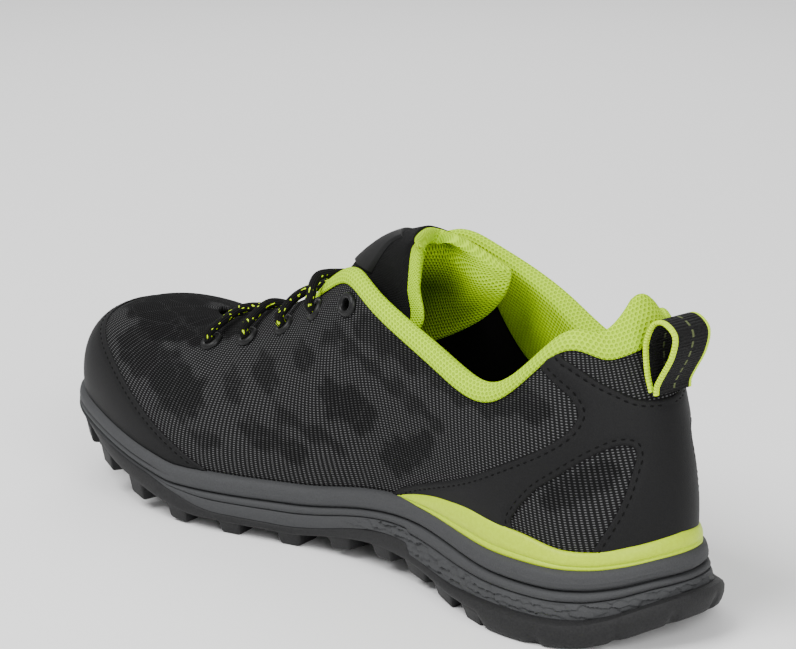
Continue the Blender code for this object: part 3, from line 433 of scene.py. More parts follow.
# Where the scales fade: at the top and the foot of their band, at the waist, and a little towards the heel
SCALE_TOP, SCALE_FOOT, SCALE_WAIST, SCALE_HEEL = (0.42, 0.50), (1.0, 0.93), (0.48, 0.36), (0.08, 0.30)
TOE_LINE, TOE_LINE_AT, TOE_LINE_HALF, TOE_LINE_FROM, TOE_LINE_TO = 1.3, 4.2, 0.4, 0.68, 0.78
FOAM_DISH = 0.05
FOAM_COLUMNS = 1200


def foam_wall_height(rows, plan):
    """Depth below the foam's upper edge, then a share of what is left down to the rubber."""
    top = sole_height(plan, "top")
    return top - rows["depth"][:, None] - rows["share"][:, None] * (top - TOP_BAND - outsole_top(plan))


def scales(run, rise):
    """Height of tilted scales on a wall unrolled to run and rise: each cell of a jittered grid is a tilted plane."""
    row = np.floor(rise / SCALE_HIGH)
    column = np.floor(run / SCALE_LONG + 0.5 * (row % 2))
    best, height = np.full(run.shape, 1e9), np.zeros(run.shape)
    for dr in (-1, 0, 1):
        for dc in (-1, 0, 1):
            r, c = row + dr, column + dc
            one = np.modf(np.abs(np.sin(r * 12.9898 + c * 78.233) * 43758.5453))[0]
            two = np.modf(np.abs(np.sin(r * 39.3468 + c * 11.135) * 24634.6345))[0]
            x = run / SCALE_LONG - (c + 0.5 - 0.5 * (r % 2) + 0.55 * (one - 0.5))
            y = rise / SCALE_HIGH - (r + 0.5 + 0.55 * (two - 0.5))
            far = x * x + y * y
            tilt = 0.5 + 0.6 * (one - 0.3) * x - 0.9 * y + 0.5 * (two - 0.5)
            height, best = np.where(far < best, tilt, height), np.minimum(far, best)
    return height


places = loop_places(FOAM_COLUMNS)
wall = sole_rings(places, MIDSOLE_WALL, 0.0, foam_wall_height)
line, way = edge_line(places)
share, depth = MIDSOLE_WALL["share"], MIDSOLE_WALL["depth"]
along = line[:, 0] / LENGTH
lift = SCALE_RELIEF * (scales(np.broadcast_to(run_along(line), wall.shape[:2]), wall[..., 2]) - SCALE_LEVEL)
lift = lift * (ease(share, *SCALE_TOP) * ease(share, *SCALE_FOOT))[:, None]
lift = lift * ease(along, *SCALE_WAIST) * (0.6 + 0.4 * ease(along, *SCALE_HEEL))
toe_line = TOE_LINE * np.exp(-(((depth - TOE_LINE_AT) / TOE_LINE_HALF) ** 2))
lift = lift - toe_line[:, None] * ease(along, TOE_LINE_FROM, TOE_LINE_TO)
wall[..., :2] += way * lift[..., None]
rings = closed_up(
    wall, lambda plan: sole_height(plan, "top") + FOAM_DISH, lambda plan: outsole_top(plan) + FOAM_DISH
)
foam = grained_material(
    "grey_foam", (0.037, 0.038, 0.040), (0.032, 0.033, 0.0345), (0.043, 0.044, 0.046), (0.3, 0.7),
    0.68, 0.22, 2200.0, 3.0, 0.25, 0.0003,
)
faces = grid_faces(len(rings), FOAM_COLUMNS, wrap=True)
new_piece("midsole_foam", rings, faces, foam, "foam_grey", "midsole", crease=50.0)


# Insole. A dark fabric over foam, loose in the shoe: only its fabric shows, deep in the mouth.
INSOLE_INSET, INSOLE_RISE = 2.6, 0.3
INSOLE_EDGE = ((0.0, 0.0), (0.0, 2.4), (0.3, 3.3), (1.0, 4.0))  # in from the edge, and up
INSOLE_COLUMNS = 360


def insole_height(rise, plan):
    """Height over the foam's upper edge."""
    return sole_height(plan, "top") + INSOLE_RISE + rise


line, way = edge_line(loop_places(INSOLE_COLUMNS))
plans = [(line - way * (INSOLE_INSET + inset), rise) for inset, rise in INSOLE_EDGE]
wall = np.array([raised(plan, insole_height(rise, plan)) for plan, rise in plans])
rings = closed_up(wall, partial(insole_height, 0.0), partial(insole_height, INSOLE_EDGE[-1][1]))
foot_cloth = grained_material(
    "dark_foot_cloth", (0.008, 0.008, 0.008), (0.005, 0.005, 0.005), (0.012, 0.012, 0.012), (0.35, 0.65),
    0.9, 0.1, 1400.0, 2.0, 0.5, 0.0004,
)
faces = grid_faces(len(rings), INSOLE_COLUMNS, wrap=True)
insole = new_piece("insole_pad", rings, faces, foot_cloth, "lining_dark", "insole")


# Upper. One layer of black sandwich mesh with light dashes in its holes, lasted over the foot shape and glued
# into the midsole. A net of film is pressed behind it, and the dark cells of the net show through.
# The top of the vamp is darkened with a painted shade, laid in with the net's cells.
HEEL_HEIGHT, WALL, FOOT_RISE = 113.0, 2.0, 0.3
RIBS = table(
    "mouth_along mouth_half mouth_up lean rise spread drop outer_up outer_drop",
    (0.070, 0.000, 0.965, 2.0, 20.0, 11.0, 22.0, 0.0, 0.0),  # heel back
    (0.083, 0.140, 0.890, 2.0, 20.5, 7.5, 20.0, 0.0, 0.0),
    (0.120, 0.234, 0.885, 2.0, 20.0, 6.0, 18.0, 0.0, 0.0),
    (0.195, 0.304, 0.712, 2.5, 17.0, 4.5, 14.0, 3.5, 0.0),  # ankle
    (0.292, 0.306, 0.765, 3.0, 18.0, 5.0, 16.0, 9.0, 0.0),
    (0.398, 0.278, 0.880, 3.0, 20.0, 8.0, 18.0, 9.5, 0.0),  # waist
    (0.464, 0.224, 0.930, 3.0, 20.0, 15.0, 17.0, 5.5, 0.0),
    (0.558, 0.132, 0.806, 3.0, 20.0, 19.0, 11.0, -1.0, 3.0),
    (0.650, 0.112, 0.704, 3.0, 20.0, 21.0, 10.0, -4.0, 4.0),  # ball
    (0.724, 0.098, 0.640, 3.0, 21.0, 23.0, 8.0, -4.5, 6.0),
    (0.769, 0.078, 0.618, 3.0, 25.0, 27.0, 2.0, -3.0, 8.0),
    (0.794, 0.044, 0.616, 3.0, 31.0, 31.0, -2.5, -1.0, 5.0),
    (0.803, 0.000, 0.618, 3.0, 33.0, 31.0, -3.0, 0.0, 0.0),  # toe tip
)
MOUTH_SHIFT, MOUTH_SHIFT_FROM, MOUTH_SHIFT_TO = -4.0, 0.2, 0.55
EYELETS = table("along inset", (0.717, 17.0), (0.653, 15.5), (0.590, 13.5), (0.525, 12.5), (0.443, 12.5))
EYELET_HOLE = 2.3
UPPER_COLUMNS, UPPER_ROWS = 560, 56
DASH_ALONG, DASH_UP, DASH_LONG, DASH_HIGH = 1.8, 0.86, 0.60, 0.55
CLOTH_ROW, CLOTH_SLANT = 0.45, 0.18
# Dark cells of the net, and in the second row a wide stroke of painted shade over the top of the vamp: half width in
# millimetres, and a stroke of rib places and shares of the rib's height
CELLS_AND_SHADE = (
    (8.0, (10.02, 0.50), (8.92, 0.48), (8.25, 0.41)),
    # Painted shade: this widest stroke darkens the whole top of the vamp
    (15.0, (11.60, 0.70), (10.60, 0.80), (9.60, 0.90), (8.60, 0.99)),
    (4.5, (8.67, 0.36), (8.22, 0.34)),
    (3.6, (7.75, 0.53), (7.51, 0.42)),
    (5.6, (7.33, 0.60), (7.14, 0.53)),
    (4.8, (6.65, 0.62), (6.47, 0.59)),
    (3.2, (6.11, 0.68), (5.73, 0.70)),
    (7.6, (5.72, 0.43), (5.23, 0.40)),
    (3.0, (6.76, 0.37), (5.69, 0.22)),
    (4.6, (7.09, 0.26), (6.36, 0.18)),
    (2.6, (7.86, 0.21), (7.54, 0.18)),
    (5.6, (4.70, 0.21), (4.10, 0.40)),
    (2.8, (5.52, 0.67), (3.86, 0.58)),
    (5.0, (5.21, 0.81), (4.20, 0.87), (3.25, 0.92), (2.30, 0.72)),
    (5.4, (1.90, 0.32), (1.20, 0.42)),
)
# Wider strokes are darker, so the painted shade over the top of the vamp is the darkest
STROKE_EDGE, STROKE_DARK, STROKE_DARK_WIDE = 2.4, 0.55, 0.03
FOLDS = table(
    "rib share rib_end share_end width depth",  # soft folds from one place to another
    (8.9, 0.93, 8.3, 0.60, 3.5, 0.7), (8.1, 0.90, 7.6, 0.55, 3.0, 0.6), (6.9, 0.92, 6.6, 0.60, 3.5, -0.5),
    (6.2, 0.78, 5.4, 0.45, 4.0, 0.6), (5.4, 0.93, 4.3, 0.62, 4.5, 0.5), (9.8, 0.97, 9.6, 0.72, 4.0, 0.7),
)


def rib_controls(u):
    """The four control points of the rib at each rib place, as (..., 4, 3): foot, two handles and mouth."""
    line, out = edge_line(u)
    foot = raised(line, sole_height(line, "top") + FOOT_RISE)
    outer = {
        "mouth_half": -RIBS["mouth_half"],
        "mouth_up": RIBS["mouth_up"] + RIBS["outer_up"] / HEEL_HEIGHT,
        "drop": RIBS["drop"] + RIBS["outer_drop"],
    }
    along, half, up, lean, rise, spread, drop = (
        closed_spline(round_trip(RIBS[name], outer.get(name, RIBS[name])), u)[..., None]
        for name in RIBS.dtype.names[:7]
    )
    shift = MOUTH_SHIFT * ease(along, MOUTH_SHIFT_FROM, MOUTH_SHIFT_TO)
    mouth = np.concatenate([along * LENGTH, shift - half * BALL_WIDTH, up * HEEL_HEIGHT], -1)
    lower = foot + np.concatenate([out * lean, rise], -1)
    upper = mouth + np.concatenate([out * spread, -drop], -1)
    return np.stack([foot, lower, upper, mouth], -2)


def skin(u, v):
    """Outer face of the upper: a cubic from the sole (v 0) to the mouth (v 1) at each rib place."""
    u, v = np.broadcast_arrays(np.asarray(u, float), np.asarray(v, float))
    points, v = rib_controls(u), v[..., None]
    shares = ((1 - v) ** 3, 3 * v * (1 - v) ** 2, 3 * v * v * (1 - v), v**3)
    return sum(points[..., k, :] * share for k, share in enumerate(shares))


def skin_frame(u, v):
    """Point on the upper, its outward normal, and its direction up the rib."""
    u, v, step = np.asarray(u, float), np.asarray(v, float), 1e-3
    inside = np.clip(v, 2 * step, 1 - 2 * step)
    up = skin(u, inside + step) - skin(u, inside - step)
    normal = np.cross(skin(u + step, inside) - skin(u - step, inside), up)
    return skin(u, v), unit(normal), unit(up)


def rib_length(u):
    """Length of the rib from the sole to the mouth, at each rib place."""
    rib = skin(np.asarray(u, float)[..., None], np.linspace(0, 1, 33))
    return np.linalg.norm(np.diff(rib, axis=-2), axis=-1).sum(-1)


def cloth_place(u, v):
    """Place on the cloth in millimetres: round the shoe half way up the ribs, slanted, and up the rib."""
    around = np.linspace(-RIBS_ROUND / 2, RIBS_ROUND, 1200)
    rise = v * rib_length(u)
    run = np.interp(u, around, run_along(skin(around, CLOTH_ROW)))
    return np.stack([run - CLOTH_SLANT * rise, rise], -1)


def distance_to_line(points, line):
    """Distance from each point to a chain of straight pieces, by the nearest place on each piece."""
    start, way = line[:-1], np.diff(line, axis=0)
    square = np.maximum((way * way).sum(-1), 1e-9)
    found = []
    for some in np.array_split(points, max(1, len(points) // 2000)):
        rel = some[:, None] - start
        t = np.clip((rel * way).sum(-1) / square, 0, 1)
        found.append(np.linalg.norm(rel - t[..., None] * way, axis=-1).min(-1))
    return np.concatenate(found)


def cut_grid(u, v, depth):
    """Trim a grid to where depth is positive.

    Beside the edge, the nearer corner of each side that crosses it is moved onto it along the slope of depth.
    Each cell is two triangles, and those that are wholly inside are kept. Gives u, v and depth of the corners
    that are left, and the triangles.
    """
    close = np.zeros(depth.shape, bool)
    for a, b in (
        (np.s_[:, :-1], np.s_[:, 1:]),
        (np.s_[:-1], np.s_[1:]),
        (np.s_[:-1, :-1], np.s_[1:, 1:]),
    ):
        crosses = depth[a] * depth[b] < 0
        nearer = np.abs(depth[a]) <= np.abs(depth[b])
        close[a] |= crosses & nearer
        close[b] |= crosses & ~nearer
    by_row, by_column = np.gradient(depth)
    step = np.where(close, -depth / np.maximum(by_row**2 + by_column**2, 1e-9), 0)
    u = u + np.clip(step * by_column, -0.8, 0.8) * np.gradient(u, axis=1)
    v = v + np.clip(step * by_row, -0.8, 0.8) * np.gradient(v, axis=0)
    depth = np.where(close, 0.0, depth)
    cells = grid_faces(*depth.shape)
    triangles = np.concatenate([cells[:, :3], cells[:, [0, 2, 3]]])
    corners = depth.ravel()[triangles]
    triangles = triangles[(corners.min(-1) >= 0) & (corners.max(-1) > 0)]
    used, triangles = np.unique(triangles, return_inverse=True)
    return u.ravel()[used], v.ravel()[used], depth.ravel()[used], triangles.reshape(-1, 3)


def beside_lacing(along, side, inset):
    """Rib place and share of the rib at a distance in from the lacing edge, where it passes along."""
    u = np.linspace(RIBS_ROUND / 4 - 0.6, RIBS_ROUND / 2, 400)
    u = u if side < 0 else RIBS_ROUND - u
    v = 1 - inset / rib_length(u)
    best = np.argmin(np.abs(skin(u, v)[:, 0] - along))
    return u[best], v[best]


def net_cells_and_shade(points):
    """How dark the net is at each point, 0 to 1: rounded strokes with soft edges on both sides of the shoe, for the
    net's dark cells and a painted shade over the top of the vamp.
    """
    dark = np.zeros(len(points))
    wobble = 1.1 * np.sin(points @ (0.41, 0.23, 0.37)) + 0.9 * np.sin(points @ (-0.52, 0.31, 0.83))
    for half, *stroke in CELLS_AND_SHADE:
        u, v = np.array(stroke).T
        for rib in (u, RIBS_ROUND - u):
            far = distance_to_line(points, skin(rib, v)) - half + wobble
            cell = ease(far, STROKE_EDGE / 2, -STROKE_EDGE / 2) * (STROKE_DARK + STROKE_DARK_WIDE * half)
            dark = np.maximum(dark, cell)
    return dark


def folds(points):
    """Depth of soft folds at each point: troughs that fade to their ends, on both sides of the shoe."""
    depth = np.zeros(len(points))
    for fold in FOLDS:
        u = np.linspace(fold["rib"], fold["rib_end"], 24)
        for rib in (u, RIBS_ROUND - u):
            line = skin(rib, np.linspace(fold["share"], fold["share_end"], 24))
            t = np.clip(np.linalg.norm(points - line[0], axis=-1) / np.linalg.norm(line[-1] - line[0]), 0, 1)
            far = distance_to_line(points, line) / fold["width"]
            depth += fold["depth"] * np.exp(-far * far) * np.sin(math.pi * (0.15 + 0.85 * t)) ** 2
    return depth


def calc(material, operation, first, second=0.0, third=0.0):
    """One step of arithmetic in a material."""
    return wire(material, "Math", {0: first, 1: second, 2: third}, operation=operation).outputs[0]


def ranged(material, value, start, end, low=0.0, high=1.0, kind="LINEAR"):
    """Number that goes from low to high as value goes from start to end."""
    values = {0: value, 1: start, 2: end, 3: low, 4: high}
    return wire(material, "MapRange", values, interpolation_type=kind).outputs[0]


def cloth_axes(material):
    """The two places on the cloth, in millimetres."""
    return wire(material, "SeparateXYZ", {0: wire(material, "UVMap", uv_map="cloth").outputs[0]}).outputs[:2]


def dashes(material, along, up, long_share, high_share):
    """Light dashes on a grid of a pitch along and up the cloth: 1 in the middle of a dash, 0 on the threads."""
    maths = partial(calc, material)
    far = []
    for axis, pitch, share in zip(cloth_axes(material), (along, up), (long_share, high_share)):
        off = maths("SUBTRACT", maths("FRACT", maths("DIVIDE", axis, pitch)), 0.5)
        far.append(maths("POWER", maths("DIVIDE", maths("ABSOLUTE", off), share / 2), 3.0))
    return maths("SUBTRACT", 1.0, maths("SMOOTH_MIN", maths("ADD", *far), 1.0, 0.3))


v, u = np.meshgrid(np.linspace(0, 1, UPPER_ROWS), np.linspace(0, RIBS_ROUND, UPPER_COLUMNS), indexing="ij")
eyelet_places = {
    (side, row): beside_lacing(EYELETS["along"][row] * LENGTH, side, EYELETS["inset"][row])
    for side in (-1, 1)
    for row in range(len(EYELETS))
}
middles = np.array([skin(*found) for found in eyelet_places.values()])
hole = np.linalg.norm(skin(u, v)[..., None, :] - middles, axis=-1).min(-1) - EYELET_HOLE
u, v, _, triangles = cut_grid(u, v, hole)
point, normal, _ = skin_frame(u, v)
point = point - normal * folds(point)[:, None]
mesh_cloth = new_material("black_mesh", (0.008, 0.008, 0.008), 0.9, 0.04)
maths = partial(calc, mesh_cloth)
dash = dashes(mesh_cloth, DASH_ALONG, DASH_UP, DASH_LONG, DASH_HIGH)
# The cell attribute holds the net's dark cells and the painted shade over the top of the vamp.
cell = wire(mesh_cloth, "Attribute", attribute_name="cell").outputs["Fac"]
values = {"Vector": wire(mesh_cloth, "UVMap", uv_map="cloth").outputs[0], "Scale": 0.085}
veins = wire(mesh_cloth, "TexVoronoi", values, feature="DISTANCE_TO_EDGE").outputs["Distance"]
cell = maths("MULTIPLY", cell, ranged(mesh_cloth, veins, 0.02, 0.05, 0.75, 1.0))
dim = maths("MULTIPLY", dash, maths("SUBTRACT", 1.0, maths("MULTIPLY", cell, 0.78)))
dim = maths("ADD", dim, maths("MULTIPLY_ADD", cell, -0.05, 0.06))
drive(mesh_cloth, "Base Color", shade(mesh_cloth, dim, (0.0035, 0.0035, 0.0036), (0.095, 0.095, 0.097)))
relief(mesh_cloth, 0.5, 0.0004, maths("SUBTRACT", 1.0, dash))
upper = new_piece(
    "upper_mesh", point, triangles, mesh_cloth, "mesh_black", "upper",
    uv=cloth_place(u, v), closed=False, values={"cell": net_cells_and_shade(point)},
)
shell = upper.modifiers.new("wall", "SOLIDIFY")
shell.thickness, shell.offset, shell.material_offset = WALL * 0.001, -1, 1
lining = new_material("dark_lining", (0.005, 0.005, 0.005), 0.9, 0.1)
grain(lining, 900.0, 2.0, 0.3, 0.0003)
upper.data.materials.append(lining)


# Toe cap. Matte black synthetic, cut to one slanted line and sewn over the toe with a row of black stitches;
# its foot is glued down inside the midsole's lip.
OVERLAY, EDGE_ROUND, FURROW, FURROW_HALF = 1.0, 1.3, 0.3, 0.9
CAP_FOOT, CAP_SLOPE = (0.655 * LENGTH, 23.0), 0.50
CAP_FROM, CAP_TOP = 7.0, 0.82
SEAM_INSET, SEAM_LIFT, STITCH, STITCH_GAP, STITCH_RADIUS = 2.0, OVERLAY - 0.4, 2.0, 1.0, 0.34
# A stitch: share of its length, share of its radius, and how far it stands out in radii
STITCH_RINGS = np.array(
    [(0.0, 0.35, -0.9), (0.15, 0.9, -0.1), (0.5, 1.0, 0.25), (0.85, 0.9, -0.1), (1.0, 0.35, -0.9)]
)


def panel(name, node, u, v, depth, material):
    """Overlay cut from the upper: its grid trimmed to depth, lifted by its thickness with a rounded edge.

    A shallow furrow runs where the stitches pull it down, and it is closed to a thin sheet from below.
    """
    u, v, depth, triangles = cut_grid(u, v, depth)
    point, normal, _ = skin_frame(u, v)
    lift = OVERLAY * (0.55 + 0.45 * ease(depth, 0, EDGE_ROUND)) * ease(v, 1.0, 0.95)
    lift = lift - FURROW * np.exp(-(((depth - SEAM_INSET) / FURROW_HALF) ** 2))
    point = point + normal * lift[:, None]
    made = new_piece(name, point, triangles, material, "synthetic_black", node, uv=cloth_place(u, v), closed=False)
    sheet = made.modifiers.new("thickness", "SOLIDIFY")
    sheet.thickness, sheet.offset = OVERLAY * 0.001, -1


def stitches(name, path, normal, material):
    """Row of stitches along a path: each a capsule of five rings of six points that dips in at its two ends."""
    run = run_along(path)
    start = np.arange(STITCH_GAP, run[-1] - STITCH - STITCH_GAP, STITCH + STITCH_GAP)
    share, thick, dip = STITCH_RINGS.T
    along = start[:, None] + share * STITCH
    middle = np.stack([np.interp(along, run, path[:, k]) for k in range(3)], -1)
    up = np.stack([np.interp(along, run, normal[:, k]) for k in range(3)], -1)
    side = np.cross(unit(middle[:, -1:] - middle[:, :1]), up)
    turn = (np.arange(6) * math.pi / 3)[:, None]
    ring = side[..., None, :] * np.cos(turn) + up[..., None, :] * np.sin(turn)
    ring = (middle + up * STITCH_RADIUS * dip[:, None])[..., None, :] + ring * STITCH_RADIUS * thick[:, None, None]
    new_piece(name, ring, capped_tubes(len(start), 5, 6), material, "synthetic_black")


def cap_depth(points):
    """Distance in from the slanted plane that ends the cap."""
    rise = CAP_FOOT[1] + CAP_SLOPE * (points[..., 0] - CAP_FOOT[0]) - points[..., 2]
    return rise / math.hypot(1, CAP_SLOPE)


black_skin = grained_material(
    "black_synthetic", (0.007, 0.007, 0.0073), (0.0055, 0.0055, 0.0058), (0.009, 0.009, 0.0093), (0.35, 0.65),
    0.6, 0.13, 2600.0, 5.0, 0.28, 0.00025,
)
thread = new_material("black_thread", (0.003, 0.003, 0.003), 0.8, 0.1)
grain(thread, 3500.0, 2.0, 0.4, 0.0002)
v, u = np.meshgrid(np.linspace(0, CAP_TOP, 76), np.linspace(CAP_FROM, RIBS_ROUND - CAP_FROM, 250), indexing="ij")
panel("toe_cap_skin", "toe_cap", u, v, cap_depth(skin(u, v)), black_skin)
share = np.linspace(0.02, CAP_TOP, 200)
around = np.linspace(CAP_FROM + 0.4, RIBS_ROUND - CAP_FROM - 0.4, 400)
depth = cap_depth(skin(around[:, None], share))
rows = np.array([np.interp(-SEAM_INSET, -d, share) for d in depth])
shown = (depth[:, 0] > SEAM_INSET) & (rows < CAP_TOP - 0.01)
point, normal, _ = skin_frame(around[shown], rows[shown])
stitches("toe_cap_stitches", point + normal * SEAM_LIFT, normal, thread)


# Heel counter. The same black synthetic wrapped round the heel, with a mesh window on each side: it runs from
# the waist up under the collar, and is sewn down along its edges and round the window.
# Outlines of the inner side as rib place and height in millimetres; the outer side mirrors them
COUNTER_FRONT = (
    (4.95, 27.0), (4.57, 34.9), (3.47, 46.8), (2.72, 56.9), (2.2, 64.1), (1.84, 69.7), (1.65, 74.0),
    (1.59, 78.0), (1.75, 82.4), (2.03, 86.3), (2.35, 91.0), (2.62, 97.0),
)
COUNTER_TOP = ((2.30, 104.0), (1.97, 95.4), (1.71, 92.7), (1.2, 87.7), (0.83, 84.6), (0.49, 81.8), (0.0, 80.9))
COUNTER_FOOT = 6.0
WINDOW = (
    (2.62, 36.0), (2.55, 41.6), (2.38, 47.0), (2.17, 52.1), (1.64, 60.5), (1.24, 65.1), (0.92, 67.3),
    (0.69, 66.9), (0.65, 63.9), (0.7, 60.7), (0.9, 49.9), (1.11, 41.7), (1.36, 32.9), (1.6, 24.0), (2.3, 24.0),
)


def fair_line(points, each=12, closed=False):
    """Smooth line through points: between two of them, the cubic whose slopes follow their neighbours."""
    points = np.asarray(points, float)
    if closed:
        points = np.concatenate([points[-1:], points, points[:2]])
    else:
        points = np.concatenate([2 * points[:1] - points[1:2], points, 2 * points[-1:] - points[-2:-1]])
    t = (np.arange(each) / each)[:, None, None]
    slopes = (points[2:] - points[:-2]) / 2
    line = cubic(t, points[1:-2], points[2:-1], slopes[:-1], slopes[1:])
    line = line.transpose(1, 0, 2).reshape(-1, points.shape[1])
    return np.concatenate([line, points[-2:-1]])


def rib_share(u, height):
    """Share of the rib at which it reaches a height, going on in a straight line past its ends."""
    v = np.linspace(0, 1, 60)
    found = []
    for heights, z, length in zip(skin(u[:, None], v)[..., 2], height, rib_length(u)):
        found.append(np.interp(z, heights, v) + (max(z - heights[-1], 0) + min(z - heights[0], 0)) / length)
    return np.array(found)


def outline_depth(u, v, outline):
    """Distance in from a closed outline of rib places and heights, negative outside it.

    The distance is the one in space to the outline on the upper, and the side is told by how often a line
    to the right crosses the outline.
    """
    point = skin(u, v)
    line = skin(outline[:, 0], rib_share(*outline.T))
    far = distance_to_line(point.reshape(-1, 3), line)
    x, y = u.ravel(), point[..., 2].ravel()
    inside = np.zeros(len(x), bool)
    for (x0, y0), (x1, y1) in zip(outline[:-1], outline[1:]):
        if y0 != y1:
            between = (y0 > y) != (y1 > y)
            inside ^= between & (x < x0 + (y - y0) / (y1 - y0) * (x1 - x0))
    return np.where(inside, far, -far).reshape(u.shape)


def seam_inside(outline, inset):
    """Points and normals of a seam at a distance in from an open outline of rib places and heights."""
    rows = rib_share(*outline.T)
    point, normal, _ = skin_frame(outline[:, 0], rows)
    side = unit(np.cross(normal, np.gradient(point, axis=0)))
    shown = (rows < 0.95) & (rows > 0.02)
    return (point + side * inset + normal * SEAM_LIFT)[shown], normal[shown]


front, top, window = fair_line(COUNTER_FRONT), fair_line(COUNTER_TOP), fair_line(WINDOW, closed=True)
mirror = np.array([-1.0, 1.0])
foot = np.array([(-5.0, COUNTER_FOOT), (5.0, COUNTER_FOOT)])
outline = np.concatenate([front, top, (top * mirror)[::-1], (front * mirror)[::-1], foot, front[:1]])
v, u = np.meshgrid(np.linspace(0, 1, 96), np.linspace(-5.2, 5.2, 280), indexing="ij")
depth = outline_depth(u, v, outline)
for side in (window, window * mirror):
    depth = np.minimum(depth, -outline_depth(u, v, side))
panel("heel_counter_skin", "heel_counter", u, v, depth, black_skin)
for word, sign in (("inner", 1), ("outer", -1)):
    for part, edge, inset in (
        ("front", front, SEAM_INSET), ("top", top, SEAM_INSET), ("window", window, -SEAM_INSET)
    ):
        path, normal = seam_inside(edge * (sign, 1.0), inset * sign)
        stitches(f"counter_{part}_stitches_{word}", path, normal, thread)


# Heel band. A moulded strip of satin lime foam on the midsole's shoulder: it wraps the heel, swells beside the
# ankle and runs out to a point at the waist, with a fine groove above its foot.
BAND = ((0.0, 9.0), (0.8, 7.6), (1.4, 6.6), (1.8, 7.2), (2.5, 10.0), (3.2, 10.4), (3.8, 7.6), (4.3, 3.8), (4.7, 0.4))
BAND_SECTION = np.array(
    [
        (0.00, -0.3), (0.00, 1.2), (0.00, 2.2), (0.03, 2.6), (0.10, 2.75), (0.18, 2.75), (0.22, 2.45), (0.25, 2.25),
        (0.28, 2.4), (0.34, 2.65), (0.50, 2.6), (0.66, 2.35), (0.80, 2.0), (0.90, 1.65), (0.96, 1.3), (1.00, 0.8),
        (0.99, 0.3), (0.96, -0.3),
    ]
)
BAND_COLUMNS = 420
u = np.linspace(-BAND[-1][0], BAND[-1][0], BAND_COLUMNS)
high = smooth_through(np.abs(u), *zip(*BAND))
thick = 0.3 + 0.7 * ease(high, 0.0, 5.0)
rise = BAND_SECTION[:, :1] * high - 0.3
point, normal, up = skin_frame(np.broadcast_to(u, rise.shape), np.maximum(rise, 0) / rib_length(u))
rings = point + normal * (BAND_SECTION[:, 1:] * thick)[..., None] + up * np.minimum(rise, 0)[..., None]
lime_foam = grained_material(
    "lime_foam", (0.42, 0.58, 0.0), (0.39, 0.54, 0.0), (0.45, 0.62, 0.0), (0.3, 0.7),
    0.45, 0.25, 900.0, 3.0, 0.10, 0.0003,
)
faces = (grid_faces(len(rings) + 1, BAND_COLUMNS) % (len(rings) * BAND_COLUMNS)).tolist()
ends = np.arange(len(rings)) * BAND_COLUMNS
faces += [ends.tolist(), (ends + BAND_COLUMNS - 1).tolist()]
new_piece("heel_band_foam", rings, faces, lime_foam, "foam_lime", "heel_band", crease=55.0)


# Collar. Lime knit over foam, sewn round the mouth as a binding outside and a thick pad inside; it rises to a
# rolled tab at the back of the heel, and ends in a point on each side of the lacing.
COLLAR_SECTION = np.array(
    [  # out, up, share of the pad and share of the sink: binding, roll, pad and the face against the mesh
        (0.35, -5.0, 0.0, 0.0), (1.5, -4.2, 0.0, 0.0), (1.9, -1.6, 0.0, 0.0), (1.2, 1.2, 0.0, 0.0),
        (-0.9, 2.5, 0.0, 0.0), (-3.0, 1.6, 0.5, 0.0), (-3.9, -1.5, 0.8, 0.0), (-4.0, -4.0, 1.0, 0.25),
        (-3.8, -5.0, 0.9, 0.65), (-3.0, -5.4, 0.1, 1.0), (-2.35, -5.4, 0.0, 1.0), (-2.35, -2.6, 0.0, 0.5),
        (-2.35, 0.3, 0.0, 0.0), (0.35, 0.3, 0.0, 0.0),
    ]
)
COLLAR_PAD, COLLAR_SINK, COLLAR_END, COLLAR_POINT = 5.0, 31.0, 7.1, 0.45
PAD_FROM, PAD_TO, SINK_FROM, SINK_TO = 5.2, 3.4, 6.0, 4.6
HEEL_ROLL, HEEL_TAB, HEEL_BINDING = 3.0, 0.9, 7.0
COLLAR_COLUMNS, COLLAR_POINTS = 420, 70
KNIT, KNIT_HOLE = 1.7, 0.42


def dimples(material, pitch, size):
    """Staggered round dimples on the cloth: 1 in the middle of a dimple, 0 on the yarn between."""
    maths, (along, up) = partial(calc, material), cloth_axes(material)
    row = maths("DIVIDE", up, pitch * 0.87)
    shift = maths("MULTIPLY", maths("MODULO", maths("FLOOR", row), 2.0), 0.5)
    x = maths("SUBTRACT", maths("FRACT", maths("ADD", maths("DIVIDE", along, pitch), shift)), 0.5)
    y = maths("MULTIPLY", maths("SUBTRACT", maths("FRACT", row), 0.5), 0.87)
    far = maths("SQRT", maths("ADD", maths("MULTIPLY", x, x), maths("MULTIPLY", y, y)))
    return ranged(material, far, size, size * 0.35, kind="SMOOTHSTEP")


def knit_material(name, light, dark, painted_shade_colour, pitch):
    """Padded knit: yarn of a light colour, darker dimples pressed into it, and a painted shade colour where an
    attribute asks for it.
    """
    made = new_material(name, light, 0.85, 0.1)
    hole = dimples(made, pitch, KNIT_HOLE)
    # The attribute marks where painted shade darkens the yarn.
    painted_shade = wire(made, "Attribute", attribute_name="painted_shade").outputs["Fac"]
    yarn = shade(made, hole, light, dark, 0.15, 1.0)
    drive(made, "Base Color", wire(made, "MixRGB", {"Fac": painted_shade, 1: yarn, 2: (*painted_shade_colour, 1.0)}).outputs[0])
    relief(made, 0.8, 0.0006, calc(made, "SUBTRACT", 1.0, hole))
    return made


